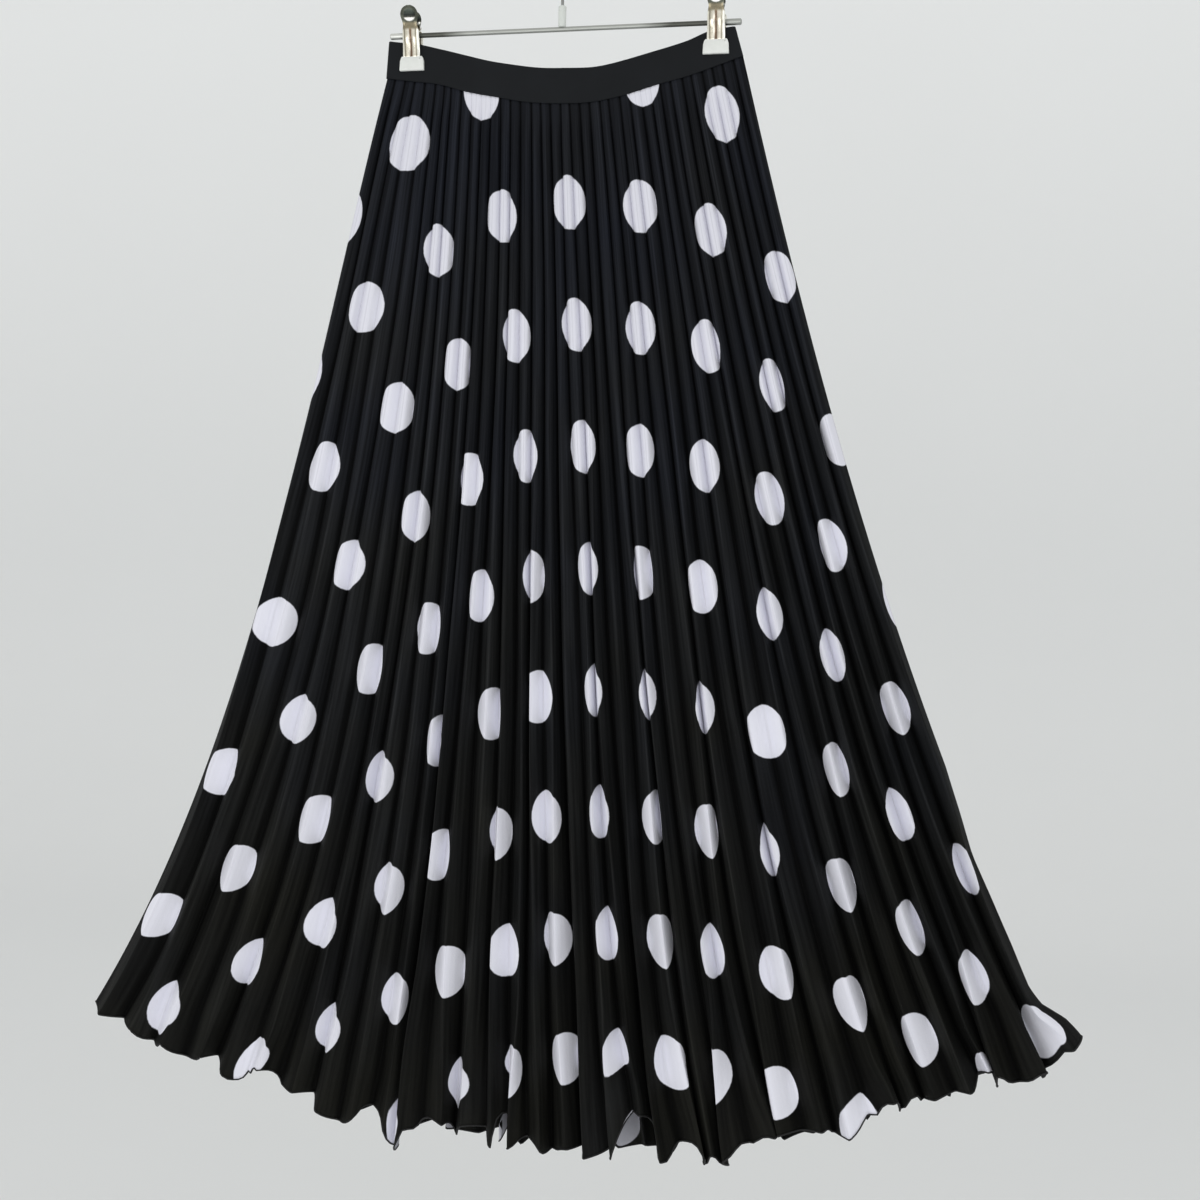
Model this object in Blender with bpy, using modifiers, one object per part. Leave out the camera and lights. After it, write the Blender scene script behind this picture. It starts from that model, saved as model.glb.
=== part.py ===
"""Sunray pleated maxi skirt hanging from a two-clip hanger.

Units are metres, +Z is up, the front of the skirt faces -Y.
The origin is the inner top of the hanger's hook, where it hangs on a rail.
All sizes below are in millimetres and are turned into metres when a mesh is made.
"""
import math

import bmesh
import bpy
from mathutils import Vector

MM = 0.001

# ---- hanger -------------------------------------------------------------
HOOK_WIRE = 2.8            # diameter of the hook's wire
HOOK_BORE = 17.0           # inner radius of the hook's loop
BAR_DROP = 95.0            # bar's centre line below the hook's inner top
BAR_DIA = 4.5              # bar between the clips
SLEEVE_DIA = 5.8           # thicker end sleeves of the bar
BAR_HALF = 166.5           # half of the bar's length
SLEEVE_START = 151.5       # where each end sleeve begins
COLLAR_DIA = 7.4           # collar that joins hook and bar
COLLAR_TOP = 21.5          # top of the collar above the bar's centre line
GAP = 0.3                  # clear space between neighbouring pieces

# ---- clips --------------------------------------------------------------
# clip's name, x at the bar, height above its usual place, sideways lean per mm of height
CLIPS = [
    ("left", -144.2, 0.0, -0.030),
    ("right", 144.1, 4.5, 0.0),
]
JAW_WIDTH = 17.0
JAW_THICK = 1.1
# height above the bar, outward y of the jaw's edges, channel depth, width share
JAW_PROFILE = [
    (-19.7, 4.60, 0.10, 1.02),
    (-16.0, 4.60, 0.60, 1.01),
    (-12.0, 4.80, 1.10, 1.00),
    (-8.0, 5.10, 1.60, 0.99),
    (-3.0, 6.20, 1.80, 0.98),
    (2.5, 6.60, 1.60, 0.96),
    (6.0, 7.60, 0.90, 0.88),
    (8.6, 8.70, 0.10, 0.84),
    (11.6, 10.1, -0.90, 0.93),
    (16.4, 11.8, -1.70, 0.98),
    (20.4, 13.0, -1.20, 0.84),
    (22.9, 13.6, -0.60, 0.56),
    (24.3, 13.9, 0.00, 0.20),
]
TAB_START = 2.5            # height above the bar where the finger tab begins
BACK_SPREAD = 0.0          # how far the back tab leans out, as a share of the front's
BACK_WIDTH = 0.84          # and how wide it is
PAD_TOP = -20.2            # pad's top and bottom edge, from the bar
PAD_BOTTOM = -33.5
PAD_WIDTH = 24.0
PAD_SHOULDER = 19.6        # pad's width at its top edge
PAD_THICK = 3.2
SPRING_BORE = 2.6          # radius of the coil's hole round the bar
SPRING_RADIUS = 5.2
SPRING_HALF = 6.0

# ---- waistband ----------------------------------------------------------
BAND_THICK = 1.5
BAND_OPEN = 12.0           # gap between front and back at the middle
BAND_PINCH = 121.0         # beyond this x the clips press front and back together
# x, drop of the seam and drop of the top edge below the bar
BAND_EDGES = [
    (-168.0, 38.5, 4.6),
    (-142.0, 42.2, 8.0),
    (-118.0, 45.5, 14.0),
    (-90.0, 54.0, 21.2),
    (-60.0, 60.5, 29.6),
    (-30.0, 66.3, 34.6),
    (0.0, 68.6, 37.2),
    (30.0, 68.3, 37.6),
    (60.0, 63.0, 31.8),
    (90.0, 54.2, 24.4),
    (118.0, 46.8, 15.8),
    (142.0, 39.3, 7.8),
    (168.0, 30.8, 4.6),
]
# how far each end of the band leans out, at the seam and at the top edge
BAND_ENDS = {"left": (-1.2, 2.5), "right": (0.0, -9.3)}
BAND_STEPS = 36

# ---- pleated panels -----------------------------------------------------
CLOTH = 1.0                # wall of the cloth
PLEATS = 36                # pleats across one panel
SECTOR = 0.703             # half angle of one panel's flat cut, radians
WAIST_RADIUS = 357.6       # radius of the flat cut at the waist seam
FAN_SPAN = 970.0           # length that the fan's table is written for
HALF_WAIST = 168.4         # half of the flat waist
# fold counted from the left, its x a third of the way down, two thirds down and at the hem
FAN = [
    (0, -243.0, -331.0, -468.0),
    (12, -135.0, -180.0, -255.0),
    (24, -55.0, -65.0, -75.0),
    (36, 20.0, 40.0, 70.0),
    (48, 100.0, 145.0, 210.0),
    (60, 180.0, 260.0, 365.0),
    (72, 254.0, 360.0, 496.0),
]
# cut angle, length from seam to hem along the pleat
HEM_LENGTH = [
    (-0.703, 955.0),
    (-0.35, 962.0),
    (0.0, 959.0),
    (0.35, 947.0),
    (0.703, 934.0),
]
# distance below the seam of each row of the mesh, as a share of the length
ROWS = [0.0, 0.0125, 0.031, 0.0625, 0.125, 0.23, 0.355, 0.48, 0.615, 0.75, 0.88, 1.0]
# how far each panel's hem sags in its middle below the cut length
HEM_SAG = {-1.0: 4.0, 1.0: 19.0}
SEAM_DEPTH = 2.2           # depth of the pleats where they enter the band
SEAM_FADE = 60.0           # distance below the seam at which pleats are full
BASE_Y = 0.9               # inner folds from the middle plane at the sides
HOLLOW_TOP = 8.0           # half gap inside the skirt near the waist
HOLLOW_HEM = 24.0          # half gap inside the skirt at the hem
SEAM_GAP = 0.5             # clear space between band and panel
WANDER = 0.20              # sideways wander of an outer fold, in pitches
SWAY = 0.10                # slow side to side sway along a fold, in pitches
PUFF = 0.12                # outward wander of a fold, in face widths


def clear_scene():
    for obj in list(bpy.data.objects):
        bpy.data.objects.remove(obj, do_unlink=True)
    for coll in list(bpy.data.collections):
        bpy.data.collections.remove(coll)


def linear(hex_colour):
    """sRGB hex colour as linear RGBA."""
    out = []
    for k in (0, 2, 4):
        c = int(hex_colour[k:k + 2], 16) / 255.0
        out.append(c / 12.92 if c <= 0.04045 else ((c + 0.055) / 1.055) ** 2.4)
    return (*out, 1.0)


def make_material(name, hex_colour, roughness, metallic=0.0):
    mat = bpy.data.materials.new(name)
    mat.use_nodes = True
    shader = mat.node_tree.nodes["Principled BSDF"]
    shader.inputs["Base Color"].default_value = linear(hex_colour)
    shader.inputs["Roughness"].default_value = roughness
    shader.inputs["Metallic"].default_value = metallic
    return mat


def add_object(name, bm, mat, coll):
    bmesh.ops.recalc_face_normals(bm, faces=bm.faces)
    mesh = bpy.data.meshes.new(name)
    bm.to_mesh(mesh)
    bm.free()
    mesh.materials.append(mat)
    obj = bpy.data.objects.new(name, mesh)
    coll.objects.link(obj)
    return obj


def add_wall(obj, thickness):
    """Turns an open sheet into a closed wall, half to each side."""
    mod = obj.modifiers.new("wall", "SOLIDIFY")
    mod.thickness = thickness * MM
    mod.offset = 0.0
    mod.use_even_offset = True
    return mod


def smooth(t):
    t = min(1.0, max(0.0, t))
    return t * t * (3.0 - 2.0 * t)


def table(rows, x, column):
    """Smooth value of one column of a table at x (cubic through the rows)."""
    n = len(rows)
    k = 0
    while k < n - 2 and x > rows[k + 1][0]:
        k += 1
    x0, x1 = rows[k][0], rows[k + 1][0]
    y0, y1 = rows[k][column], rows[k + 1][column]

    def slope(j):
        a, b = max(0, j - 1), min(n - 1, j + 1)
        return (rows[b][column] - rows[a][column]) / (rows[b][0] - rows[a][0])

    t = (x - x0) / (x1 - x0)
    if t < 0.0 or t > 1.0:
        edge = min(1.0, max(0.0, t))
        return (y0 if edge == 0.0 else y1) + (t - edge) * (x1 - x0) * slope(k + int(edge))
    h = x1 - x0
    return ((2 * t ** 3 - 3 * t ** 2 + 1) * y0 + (t ** 3 - 2 * t ** 2 + t) * h * slope(k)
            + (3 * t ** 2 - 2 * t ** 3) * y1 + (t ** 3 - t ** 2) * h * slope(k + 1))


def noise(i, k):
    """Repeatable number from -1 to 1."""
    s = math.sin(i * 12.9898 + k * 78.233) * 43758.5453
    return 2.0 * (s - math.floor(s)) - 1.0


# ---- the pleated fan ----------------------------------------------------
def fan(phi):
    """Cubic that the fold at a cut angle follows down the skirt, from the fan table."""
    waist = HALF_WAIST * phi / SECTOR
    fold = PLEATS * (1.0 + phi / SECTOR)
    p, q, r = (table(FAN, fold, k) - waist for k in (1, 2, 3))
    return (waist, 9.0 * p - 4.5 * q + r, 18.0 * q - 22.5 * p - 4.5 * r,
            13.5 * (p - q) + 4.5 * r)


def fan_x(phi, v):
    a, b, c, d = fan(phi)
    t = v / FAN_SPAN
    return a + b * t + c * t ** 2 + d * t ** 3


def fan_z(phi, v):
    """Height of a point of the fan: each pleat keeps its cut length."""
    a, b, c, d = fan(phi)
    steps = 10
    fall = 0.0
    for k in range(steps):
        t = v / FAN_SPAN * (k + 0.5) / steps
        lean = (b + 2.0 * c * t + 3.0 * d * t ** 2) / FAN_SPAN
        fall += math.sqrt(max(0.05, 1.0 - lean * lean)) / steps
    return -BAR_DROP - table(BAND_EDGES, a, 1) - SEAM_GAP - v * fall


def band_open(x):
    """Half gap between the front and back band at x."""
    return 0.5 * BAND_OPEN * max(0.0, 1.0 - (x / BAND_PINCH) ** 2)


def hollow(phi, v):
    """Distance of the inner folds from the middle plane."""
    lens = 1.0 - (phi / SECTOR) ** 2
    below = (HOLLOW_TOP + (HOLLOW_HEM - HOLLOW_TOP) * v / FAN_SPAN) * lens
    at_band = band_open(fan(phi)[0])
    mix = smooth(v / 120.0)
    return BASE_Y + at_band * (1.0 - mix) + below * mix


def outer_fold(i, v, seed):
    """x and outward y of outer fold i."""
    step = 2.0 * SECTOR / PLEATS
    phi = -SECTOR + (i + 0.5) * step
    face = (WAIST_RADIUS + v) * step / 2.0
    x = fan_x(phi, v)
    pitch = fan_x(phi + step / 2.0, v) - fan_x(phi - step / 2.0, v)
    share = pitch / (2.0 * face)
    calm = min(1.0, (1.0 - share) / 0.5) * min(1.0, share / 0.4)
    grow = 0.15 + 0.85 * smooth(v / 700.0)
    side = WANDER * noise(i, seed) + SWAY * math.sin(
        math.tau * (1.2 * v / FAN_SPAN + noise(i, seed + 3)))
    x += pitch * side * calm * grow
    depth = math.sqrt(max(0.0, face ** 2 - (pitch / 2.0) ** 2))
    depth = SEAM_DEPTH + (depth - SEAM_DEPTH) * smooth(v / SEAM_FADE)
    y = hollow(phi, v) + depth + face * PUFF * noise(i, seed + 7) * grow * smooth(v / 90.0)
    return x, y


def inner_fold(a, b, v):
    """x and outward y of the inner fold between outer folds a and b."""
    face = (WAIST_RADIUS + v) * SECTOR / PLEATS
    dx, dy = b[0] - a[0], b[1] - a[1]
    chord = math.hypot(dx, dy)
    depth = math.sqrt(max((0.3 * face) ** 2, face ** 2 - (chord / 2.0) ** 2))
    depth = SEAM_DEPTH + (depth - SEAM_DEPTH) * smooth(v / SEAM_FADE)
    x = (a[0] + b[0]) / 2.0 + dy / chord * depth
    y = (a[1] + b[1]) / 2.0 - dx / chord * depth
    floor = 0.4 + CLOTH * face / chord
    return x, max(y, floor, BASE_Y)


def folds(share, seed):
    """All folds across one panel, at a share of the length below the seam."""
    step = 2.0 * SECTOR / PLEATS

    def along(phi):
        return share * table(HEM_LENGTH, phi, 1)

    tops = [outer_fold(i, along(-SECTOR + (i + 0.5) * step), seed) for i in range(PLEATS)]
    pts = []
    for i in range(PLEATS + 1):
        phi = -SECTOR + i * step
        v = along(phi)
        if i == 0 or i == PLEATS:
            x, y = fan_x(phi, v), BASE_Y
        else:
            x, y = inner_fold(tops[i - 1], tops[i], v)
        pts.append((x, y, fan_z(phi, v)))
        if i < PLEATS:
            phi += step / 2.0
            pts.append((*tops[i], fan_z(phi, along(phi))))
    return pts


def build_panel(name, side, seed, mat, coll):
    """One pleated panel; side is -1 for the front and +1 for the back."""
    bm = bmesh.new()
    cols, rows = 2 * PLEATS, len(ROWS) - 1
    bmesh.ops.create_grid(bm, x_segments=cols, y_segments=rows, size=0.5)
    bm.verts.ensure_lookup_table()
    grid = [folds(share, seed) for share in ROWS]
    for vert in bm.verts:
        c = round((vert.co.x + 0.5) * cols)
        r = round((0.5 - vert.co.y) * rows)
        x, y, z = grid[r][c]
        middle = 1.0 - (2.0 * c / cols - 1.0) ** 2
        z -= HEM_SAG[side] * middle * smooth(ROWS[r])
        vert.co = Vector((x, side * y, z)) * MM
    obj = add_object(name, bm, mat, coll)
    add_wall(obj, CLOTH)
    return obj


def build_band(name, side, mat, coll):
    """Half of the waistband, a plain strip that sags between the clips."""
    bm = bmesh.new()
    bmesh.ops.create_grid(bm, x_segments=BAND_STEPS, y_segments=2, size=0.5)
    x0, x1 = BAND_EDGES[0][0], BAND_EDGES[-1][0]
    for vert in bm.verts:
        x = x0 + (vert.co.x + 0.5) * (x1 - x0)
        t = vert.co.y + 0.5
        low, high = -table(BAND_EDGES, x, 1), -table(BAND_EDGES, x, 2)
        y = band_open(x) + GAP / 2.0 + BAND_THICK / 2.0
        lean = BAND_ENDS["left" if x < 0.0 else "right"]
        x += (lean[0] + (lean[1] - lean[0]) * t) * abs(x / x1) ** 4
        vert.co = Vector((x, side * y, low + (high - low) * t - BAR_DROP)) * MM
    obj = add_object(name, bm, mat, coll)
    add_wall(obj, BAND_THICK)
    return obj


# ---- the hanger ---------------------------------------------------------
def build_turned(name, outline, axis, centre, mat, coll, steps=24):
    """Solid of revolution from (distance along the axis, radius) pairs."""
    bm = bmesh.new()
    verts = []
    for along, radius in outline:
        if axis == "X":
            verts.append(bm.verts.new(Vector((along, 0.0, radius)) * MM))
        else:
            verts.append(bm.verts.new(Vector((radius, 0.0, along)) * MM))
    closed = outline[0][1] > 0.0
    edges = [bm.edges.new((a, b)) for a, b in zip(verts, verts[1:])]
    if closed:
        edges.append(bm.edges.new((verts[-1], verts[0])))
    turn = Vector((1, 0, 0)) if axis == "X" else Vector((0, 0, 1))
    bmesh.ops.spin(bm, geom=verts + edges, cent=(0, 0, 0), axis=turn,
                   angle=math.tau, steps=steps, use_merge=True)
    bmesh.ops.remove_doubles(bm, verts=bm.verts, dist=1e-6)
    bmesh.ops.translate(bm, verts=bm.verts, vec=Vector(centre) * MM)
    return add_object(name, bm, mat, coll)


def hook_path():
    """Centre line of the hook's wire: stem, bend and open loop."""
    r = HOOK_BORE + HOOK_WIRE / 2.0
    cz = -HOOK_BORE
    stem_low = -BAR_DROP + COLLAR_TOP + GAP
    pts = [(0.0, stem_low), (0.0, stem_low + 7.0)]
    # the bend from the stem to the loop's right side, a cubic curve
    p0, p1 = (0.0, stem_low + 12.0), (0.0, cz - 14.0)
    p2, p3 = (r, cz - 20.0), (r, cz)
    for k in range(11):
        t = k / 10.0
        a, b, c, d = (1 - t) ** 3, 3 * t * (1 - t) ** 2, 3 * t * t * (1 - t), t ** 3
        pts.append((a * p0[0] + b * p1[0] + c * p2[0] + d * p3[0],
                    a * p0[1] + b * p1[1] + c * p2[1] + d * p3[1]))
    for k in range(1, 22):
        ang = math.radians(k * 10.0)
        pts.append((r * math.cos(ang), cz + r * math.sin(ang)))
    return pts


def build_hook(mat, coll):
    curve = bpy.data.curves.new("hook", "CURVE")
    curve.dimensions = "3D"
    curve.bevel_depth = HOOK_WIRE / 2.0 * MM
    curve.bevel_resolution = 2
    curve.use_fill_caps = True
    pts = hook_path()
    spline = curve.splines.new("POLY")
    spline.points.add(len(pts) - 1)
    for point, (x, z) in zip(spline.points, pts):
        point.co = (x * MM, 0.0, z * MM, 1.0)
    curve.materials.append(mat)
    obj = bpy.data.objects.new("hook", curve)
    coll.objects.link(obj)
    return obj


def build_jaw(name, clip, side, mat, coll):
    """Sheet-metal jaw: a shallow channel that ends in a round, dished finger tab."""
    _, x, rise, lean = clip
    bm = bmesh.new()
    cols, rows = 8, len(JAW_PROFILE) - 1
    bmesh.ops.create_grid(bm, x_segments=cols, y_segments=rows, size=0.5)
    for vert in bm.verts:
        u = vert.co.x * 2.0
        z, y, channel, share = JAW_PROFILE[round((vert.co.y + 0.5) * rows)]
        if side > 0.0 and z > TAB_START:
            y = 6.6 + (y - 6.6) * BACK_SPREAD
            share *= 1.0 - (1.0 - BACK_WIDTH) * smooth((z - TAB_START) / 4.0)
        y += channel * (1.0 - u ** 4)
        place = x + u * share * (JAW_WIDTH - JAW_THICK) / 2.0 + lean * (z + 27.0)
        vert.co = Vector((place, side * y, z + rise - BAR_DROP)) * MM
    obj = add_object(name, bm, mat, coll)
    add_wall(obj, JAW_THICK)
    return obj


def build_pad(name, clip, side, mat, coll):
    """Plastic pad under a jaw, wider at its foot."""
    _, x, rise, _ = clip
    inner = GAP / 2.0 + BAND_THICK + GAP
    outline = [
        (-PAD_WIDTH / 2.0, PAD_BOTTOM),
        (PAD_WIDTH / 2.0, PAD_BOTTOM),
        (PAD_WIDTH / 2.0 - 0.5, PAD_TOP - 5.5),
        (PAD_SHOULDER / 2.0 + 0.6, PAD_TOP - 1.5),
        (PAD_SHOULDER / 2.0, PAD_TOP),
        (-PAD_SHOULDER / 2.0, PAD_TOP),
        (-PAD_SHOULDER / 2.0 - 0.6, PAD_TOP - 1.5),
        (-PAD_WIDTH / 2.0 + 0.5, PAD_TOP - 5.5),
    ]
    bm = bmesh.new()
    verts = [bm.verts.new(Vector((x + px, side * inner, pz + rise - BAR_DROP)) * MM)
             for px, pz in outline]
    face = bm.faces.new(verts)
    made = bmesh.ops.extrude_face_region(bm, geom=[face])["geom"]
    moved = [g for g in made if isinstance(g, bmesh.types.BMVert)]
    bmesh.ops.translate(bm, verts=moved, vec=(0, side * PAD_THICK * MM, 0))
    obj = add_object(name, bm, mat, coll)
    mod = obj.modifiers.new("rounding", "BEVEL")
    mod.width = 0.5 * MM
    mod.segments = 2
    mod.limit_method = "ANGLE"
    mod.angle_limit = math.radians(50.0)
    return obj


def build_hanger(mats, coll):
    r, s = BAR_DIA / 2.0, SLEEVE_DIA / 2.0
    half = [(SLEEVE_START, r), (SLEEVE_START + 0.4, s), (BAR_HALF - 0.8, s),
            (BAR_HALF, s - 0.8), (BAR_HALF, 0.0)]
    outline = [(-a, b) for a, b in reversed(half)] + half
    build_turned("hanger_bar", outline, "X", (0, 0, -BAR_DROP), mats["steel"], coll)
    low = BAR_DIA / 2.0 + GAP
    c = COLLAR_DIA / 2.0
    collar = [(low, 0.0), (low, c - 0.5), (low + 0.8, c), (COLLAR_TOP - 1.0, c),
              (COLLAR_TOP, c - 1.0), (COLLAR_TOP, 0.0)]
    build_turned("hook_collar", collar, "Z", (0, 0, -BAR_DROP), mats["collar"], coll)
    build_hook(mats["chrome"], coll)
    for clip in CLIPS:
        label, x = clip[:2]
        coil = []
        for a, b in ((-SPRING_HALF, SPRING_BORE), (SPRING_HALF, SPRING_BORE),
                     (SPRING_HALF, SPRING_RADIUS), (-SPRING_HALF, SPRING_RADIUS)):
            coil.append((a, b))
        build_turned(f"{label}_clip_spring", coil, "X", (x, 0, -BAR_DROP),
                     mats["chrome"], coll)
        for face, side in (("front", -1.0), ("back", 1.0)):
            build_jaw(f"{label}_clip_{face}_jaw", clip, side, mats["chrome"], coll)
            build_pad(f"{label}_clip_{face}_pad", clip, side, mats["pad"], coll)


def main():
    clear_scene()
    coll = bpy.data.collections.new("pleated_skirt_on_hanger")
    bpy.context.scene.collection.children.link(coll)
    mats = {
        "cloth": make_material("pleated_crepe", "1f2023", 0.75),
        "band": make_material("waistband_cloth", "222327", 0.85),
        "chrome": make_material("clip_chrome", "c9c8c0", 0.15, 1.0),
        "steel": make_material("bar_steel", "a5a6a4", 0.35, 1.0),
        "collar": make_material("collar_plastic", "d6d9d3", 0.45),
        "pad": make_material("pad_plastic", "d8dad4", 0.4),
    }
    build_panel("front_panel", -1.0, 1, mats["cloth"], coll)
    build_panel("back_panel", 1.0, 41, mats["cloth"], coll)
    build_band("waistband_front", -1.0, mats["band"], coll)
    build_band("waistband_back", 1.0, mats["band"], coll)
    build_hanger(mats, coll)


main()
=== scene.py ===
"""Sunray pleated maxi skirt with large dots, hung from a two-clip hanger.

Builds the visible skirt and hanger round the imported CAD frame. Sizes in the tables are
millimetres. +Z is up and the front of the skirt faces -Y.
"""
import math

import bmesh
import bpy
from mathutils import Matrix, Vector


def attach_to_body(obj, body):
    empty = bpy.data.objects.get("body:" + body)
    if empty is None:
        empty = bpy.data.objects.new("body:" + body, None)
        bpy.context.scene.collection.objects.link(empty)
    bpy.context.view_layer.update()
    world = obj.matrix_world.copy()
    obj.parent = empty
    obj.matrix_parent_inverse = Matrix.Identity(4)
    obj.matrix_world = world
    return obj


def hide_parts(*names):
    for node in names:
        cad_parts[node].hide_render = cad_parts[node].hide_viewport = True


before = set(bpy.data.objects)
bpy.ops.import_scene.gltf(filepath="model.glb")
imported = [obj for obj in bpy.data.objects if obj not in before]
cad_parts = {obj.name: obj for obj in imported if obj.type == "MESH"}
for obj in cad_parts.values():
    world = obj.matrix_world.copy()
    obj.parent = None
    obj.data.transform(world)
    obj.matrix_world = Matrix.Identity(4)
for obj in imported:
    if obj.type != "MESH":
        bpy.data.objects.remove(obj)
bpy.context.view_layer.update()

bl_info = {
    "name": "Pleated skirt on a clip hanger",
    "version": (1, 0, 0),
    "blender": (4, 5, 0),
    "location": "View3D > Sidebar > Skirt",
    "description": "Builds a sunray pleated skirt and the clip hanger that holds it",
    "category": "Object",
}

MM = 0.001
BODY = "root"

# ---- hanger -------------------------------------------------------------
BAR_DROP = 95.0            # bar's centre line below the hook's inner top
BAR_DIA = 4.5              # bar between the clips
SLEEVE_DIA = 5.8           # thicker end sleeves of the bar
BAR_HALF = 166.5           # half of the bar's length
SLEEVE_START = 151.5       # where each end sleeve begins
HOOK_WIRE = 2.8            # diameter of the hook's wire
HOOK_BORE = 17.0           # inner radius of the hook's loop
COLLAR_DIA = 7.4           # collar that joins hook and bar
COLLAR_TOP = 21.5          # top of the collar above the bar's centre line
# clip's name, x at the bar, height above its usual place, sideways lean per mm of height
CLIPS = [
    ("left", -143.4, 0.0, -0.028),
    ("right", 144.1, 4.5, 0.0),
]
JAW_WIDTH = 17.0
JAW_THICK = 1.1
# height above the bar, outward y of the jaw's edges, channel depth, width share, groove
JAW_PROFILE = [
    (-20.8, 4.60, 0.10, 1.03, 0.0),
    (-17.0, 4.60, 0.60, 1.02, 0.6),
    (-13.0, 4.70, 1.10, 1.00, 1.3),
    (-8.0, 5.10, 1.60, 0.99, 1.6),
    (-3.0, 6.20, 1.80, 0.98, 1.3),
    (2.5, 6.60, 1.60, 0.96, 0.4),
    (6.0, 7.60, 0.90, 0.88, 0.0),
    (8.6, 8.70, 0.10, 0.84, 0.0),
    (11.6, 10.1, -0.90, 0.93, 0.0),
    (16.4, 11.8, -1.70, 1.05, 0.0),
    (20.4, 13.0, -1.20, 0.90, 0.0),
    (22.9, 13.6, -0.60, 0.60, 0.0),
    (24.3, 13.9, 0.00, 0.20, 0.0),
]
TAB_START = 2.5            # height above the bar where the finger tab begins
BACK_TAB_Y = 6.6           # the back tab stands upright at this outward y
BACK_WIDTH = 0.72          # and is this wide, as a share of the front's
LEAN_PIVOT = -27.0         # height at which a leaning clip keeps its x
PAD_TOP = -20.2            # pad's top and bottom edge, from the bar
PAD_BOTTOM = -33.5
PAD_WIDTH = 24.0
PAD_SHOULDER = 19.6        # pad's width at its top edge
PAD_THICK = 3.2
PAD_INNER = 2.0            # outward y of the pad's inner face
COIL_RADIUS = 4.0          # from the bar's centre line to the middle of the wire
COIL_WIRE = 1.1            # diameter of the spring's wire
COIL_HALF = 5.2            # half of the coil's length
COIL_TURNS = 8
COIL_STEPS = 18            # points round one turn

# ---- waistband ----------------------------------------------------------
BAND_OPEN = 12.0           # gap between front and back at the middle
BAND_PINCH = 121.0         # beyond this x the clips press front and back together
# x, drop of the seam and drop of the top edge below the bar
BAND_EDGES = [
    (-168.0, 38.5, 4.6),
    (-142.0, 42.2, 8.0),
    (-118.0, 45.5, 14.0),
    (-90.0, 54.0, 21.2),
    (-60.0, 60.5, 29.6),
    (-30.0, 66.3, 34.6),
    (0.0, 68.6, 37.2),
    (30.0, 68.3, 37.6),
    (60.0, 63.0, 31.8),
    (90.0, 54.2, 24.4),
    (118.0, 46.8, 15.8),
    (142.0, 39.3, 7.8),
    (168.0, 30.8, 4.6),
]
# how far each end of the band leans out, at the seam and at the top edge
BAND_ENDS = {"left": (0.3, 2.5), "right": (-1.2, -9.3)}
# x, width and outward height of the faint wrinkles in the band
BAND_WRINKLES = [
    (-64.0, 10.0, 0.35),
    (18.0, 5.0, 0.55),
    (33.0, 6.0, 0.75),
    (47.0, 5.0, 0.45),
    (96.0, 12.0, 0.35),
]

# ---- pleated panels -----------------------------------------------------
PLEATS = 36                # pleats across one panel, so its folds are numbered 0 to 72
FRONT_SEED, BACK_SEED = 1, 41
SECTOR = 0.703             # half angle of one panel's flat cut, radians
WAIST_RADIUS = 357.6       # radius of the flat cut at the waist seam
FAN_SPAN = 970.0           # length down the cloth where the fan table ends
HALF_WAIST = 168.4         # half of the flat waist
# fold counted from the left, its x a third of the way down, two thirds down and at the hem
FAN = [
    (0, -243.0, -331.0, -468.0),
    (12, -135.0, -180.0, -255.0),
    (24, -55.0, -65.0, -75.0),
    (36, 20.0, 40.0, 70.0),
    (48, 100.0, 145.0, 210.0),
    (60, 180.0, 260.0, 365.0),
    (72, 254.0, 360.0, 496.0),
]
# cut angle, length from seam to hem along the pleat
HEM_LENGTH = [
    (-0.703, 957.0),
    (-0.35, 974.0),
    (0.0, 965.0),
    (0.17, 965.0),
    (0.35, 952.0),
    (0.703, 934.0),
]
# how far the inner folds drift from their even places at the band and at the hem, and
# how far each swings to and fro on its way down, in pleats
FOLD_DRIFT = (0.20, 0.36)
FOLD_SWING = 0.08
FOLD_WAVE = 620.0          # length of one swing
DRIFT_DRAW = 14            # which draw of chance numbers places the folds
# tips and notches of the front's hem: middle in folds counted from the left, half width in
# folds, and how far the edge hangs down there; below zero it rises
HEM_CURLS = [
    (4.0, 1.0, 10.0),
    (6.0, 1.0, 8.0),
    (9.5, 0.6, 11.0),
    (11.2, 0.9, -14.0),
    (16.0, 1.3, 12.0),
    (18.2, 0.9, -11.0),
    (20.1, 1.2, 26.0),
    (22.9, 1.1, -17.0),
    (25.6, 1.1, -12.0),
    (27.6, 0.6, -30.0),
    (30.2, 1.0, -8.0),
    (32.0, 0.8, 4.0),
    (35.0, 1.0, 5.0),
    (38.7, 1.7, -42.0),
    (42.2, 0.8, -15.0),
    (44.0, 0.8, 14.0),
    (46.4, 1.2, 16.0),
    (49.0, 0.8, -10.0),
    (54.6, 1.2, 12.0),
    (57.0, 0.7, -14.0),
    (59.0, 0.6, -8.0),
    (64.6, 1.2, -12.0),
    (66.2, 0.6, 10.0),
    (68.0, 0.8, 9.0),
    (69.9, 0.8, 12.0),
]
CORNER_CURL = (72.0, 2.2, -12.0)   # the same at the right side seam, front and back
HEM_RAGGED = {"front": 2.5, "back": 7.0}   # how uneven the edge is, by chance
BACK_SAG = 18.0            # how far the back's hem hangs below the front's in the middle
HEM_SPRING = 130.0         # length above the hem where its waves begin
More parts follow.
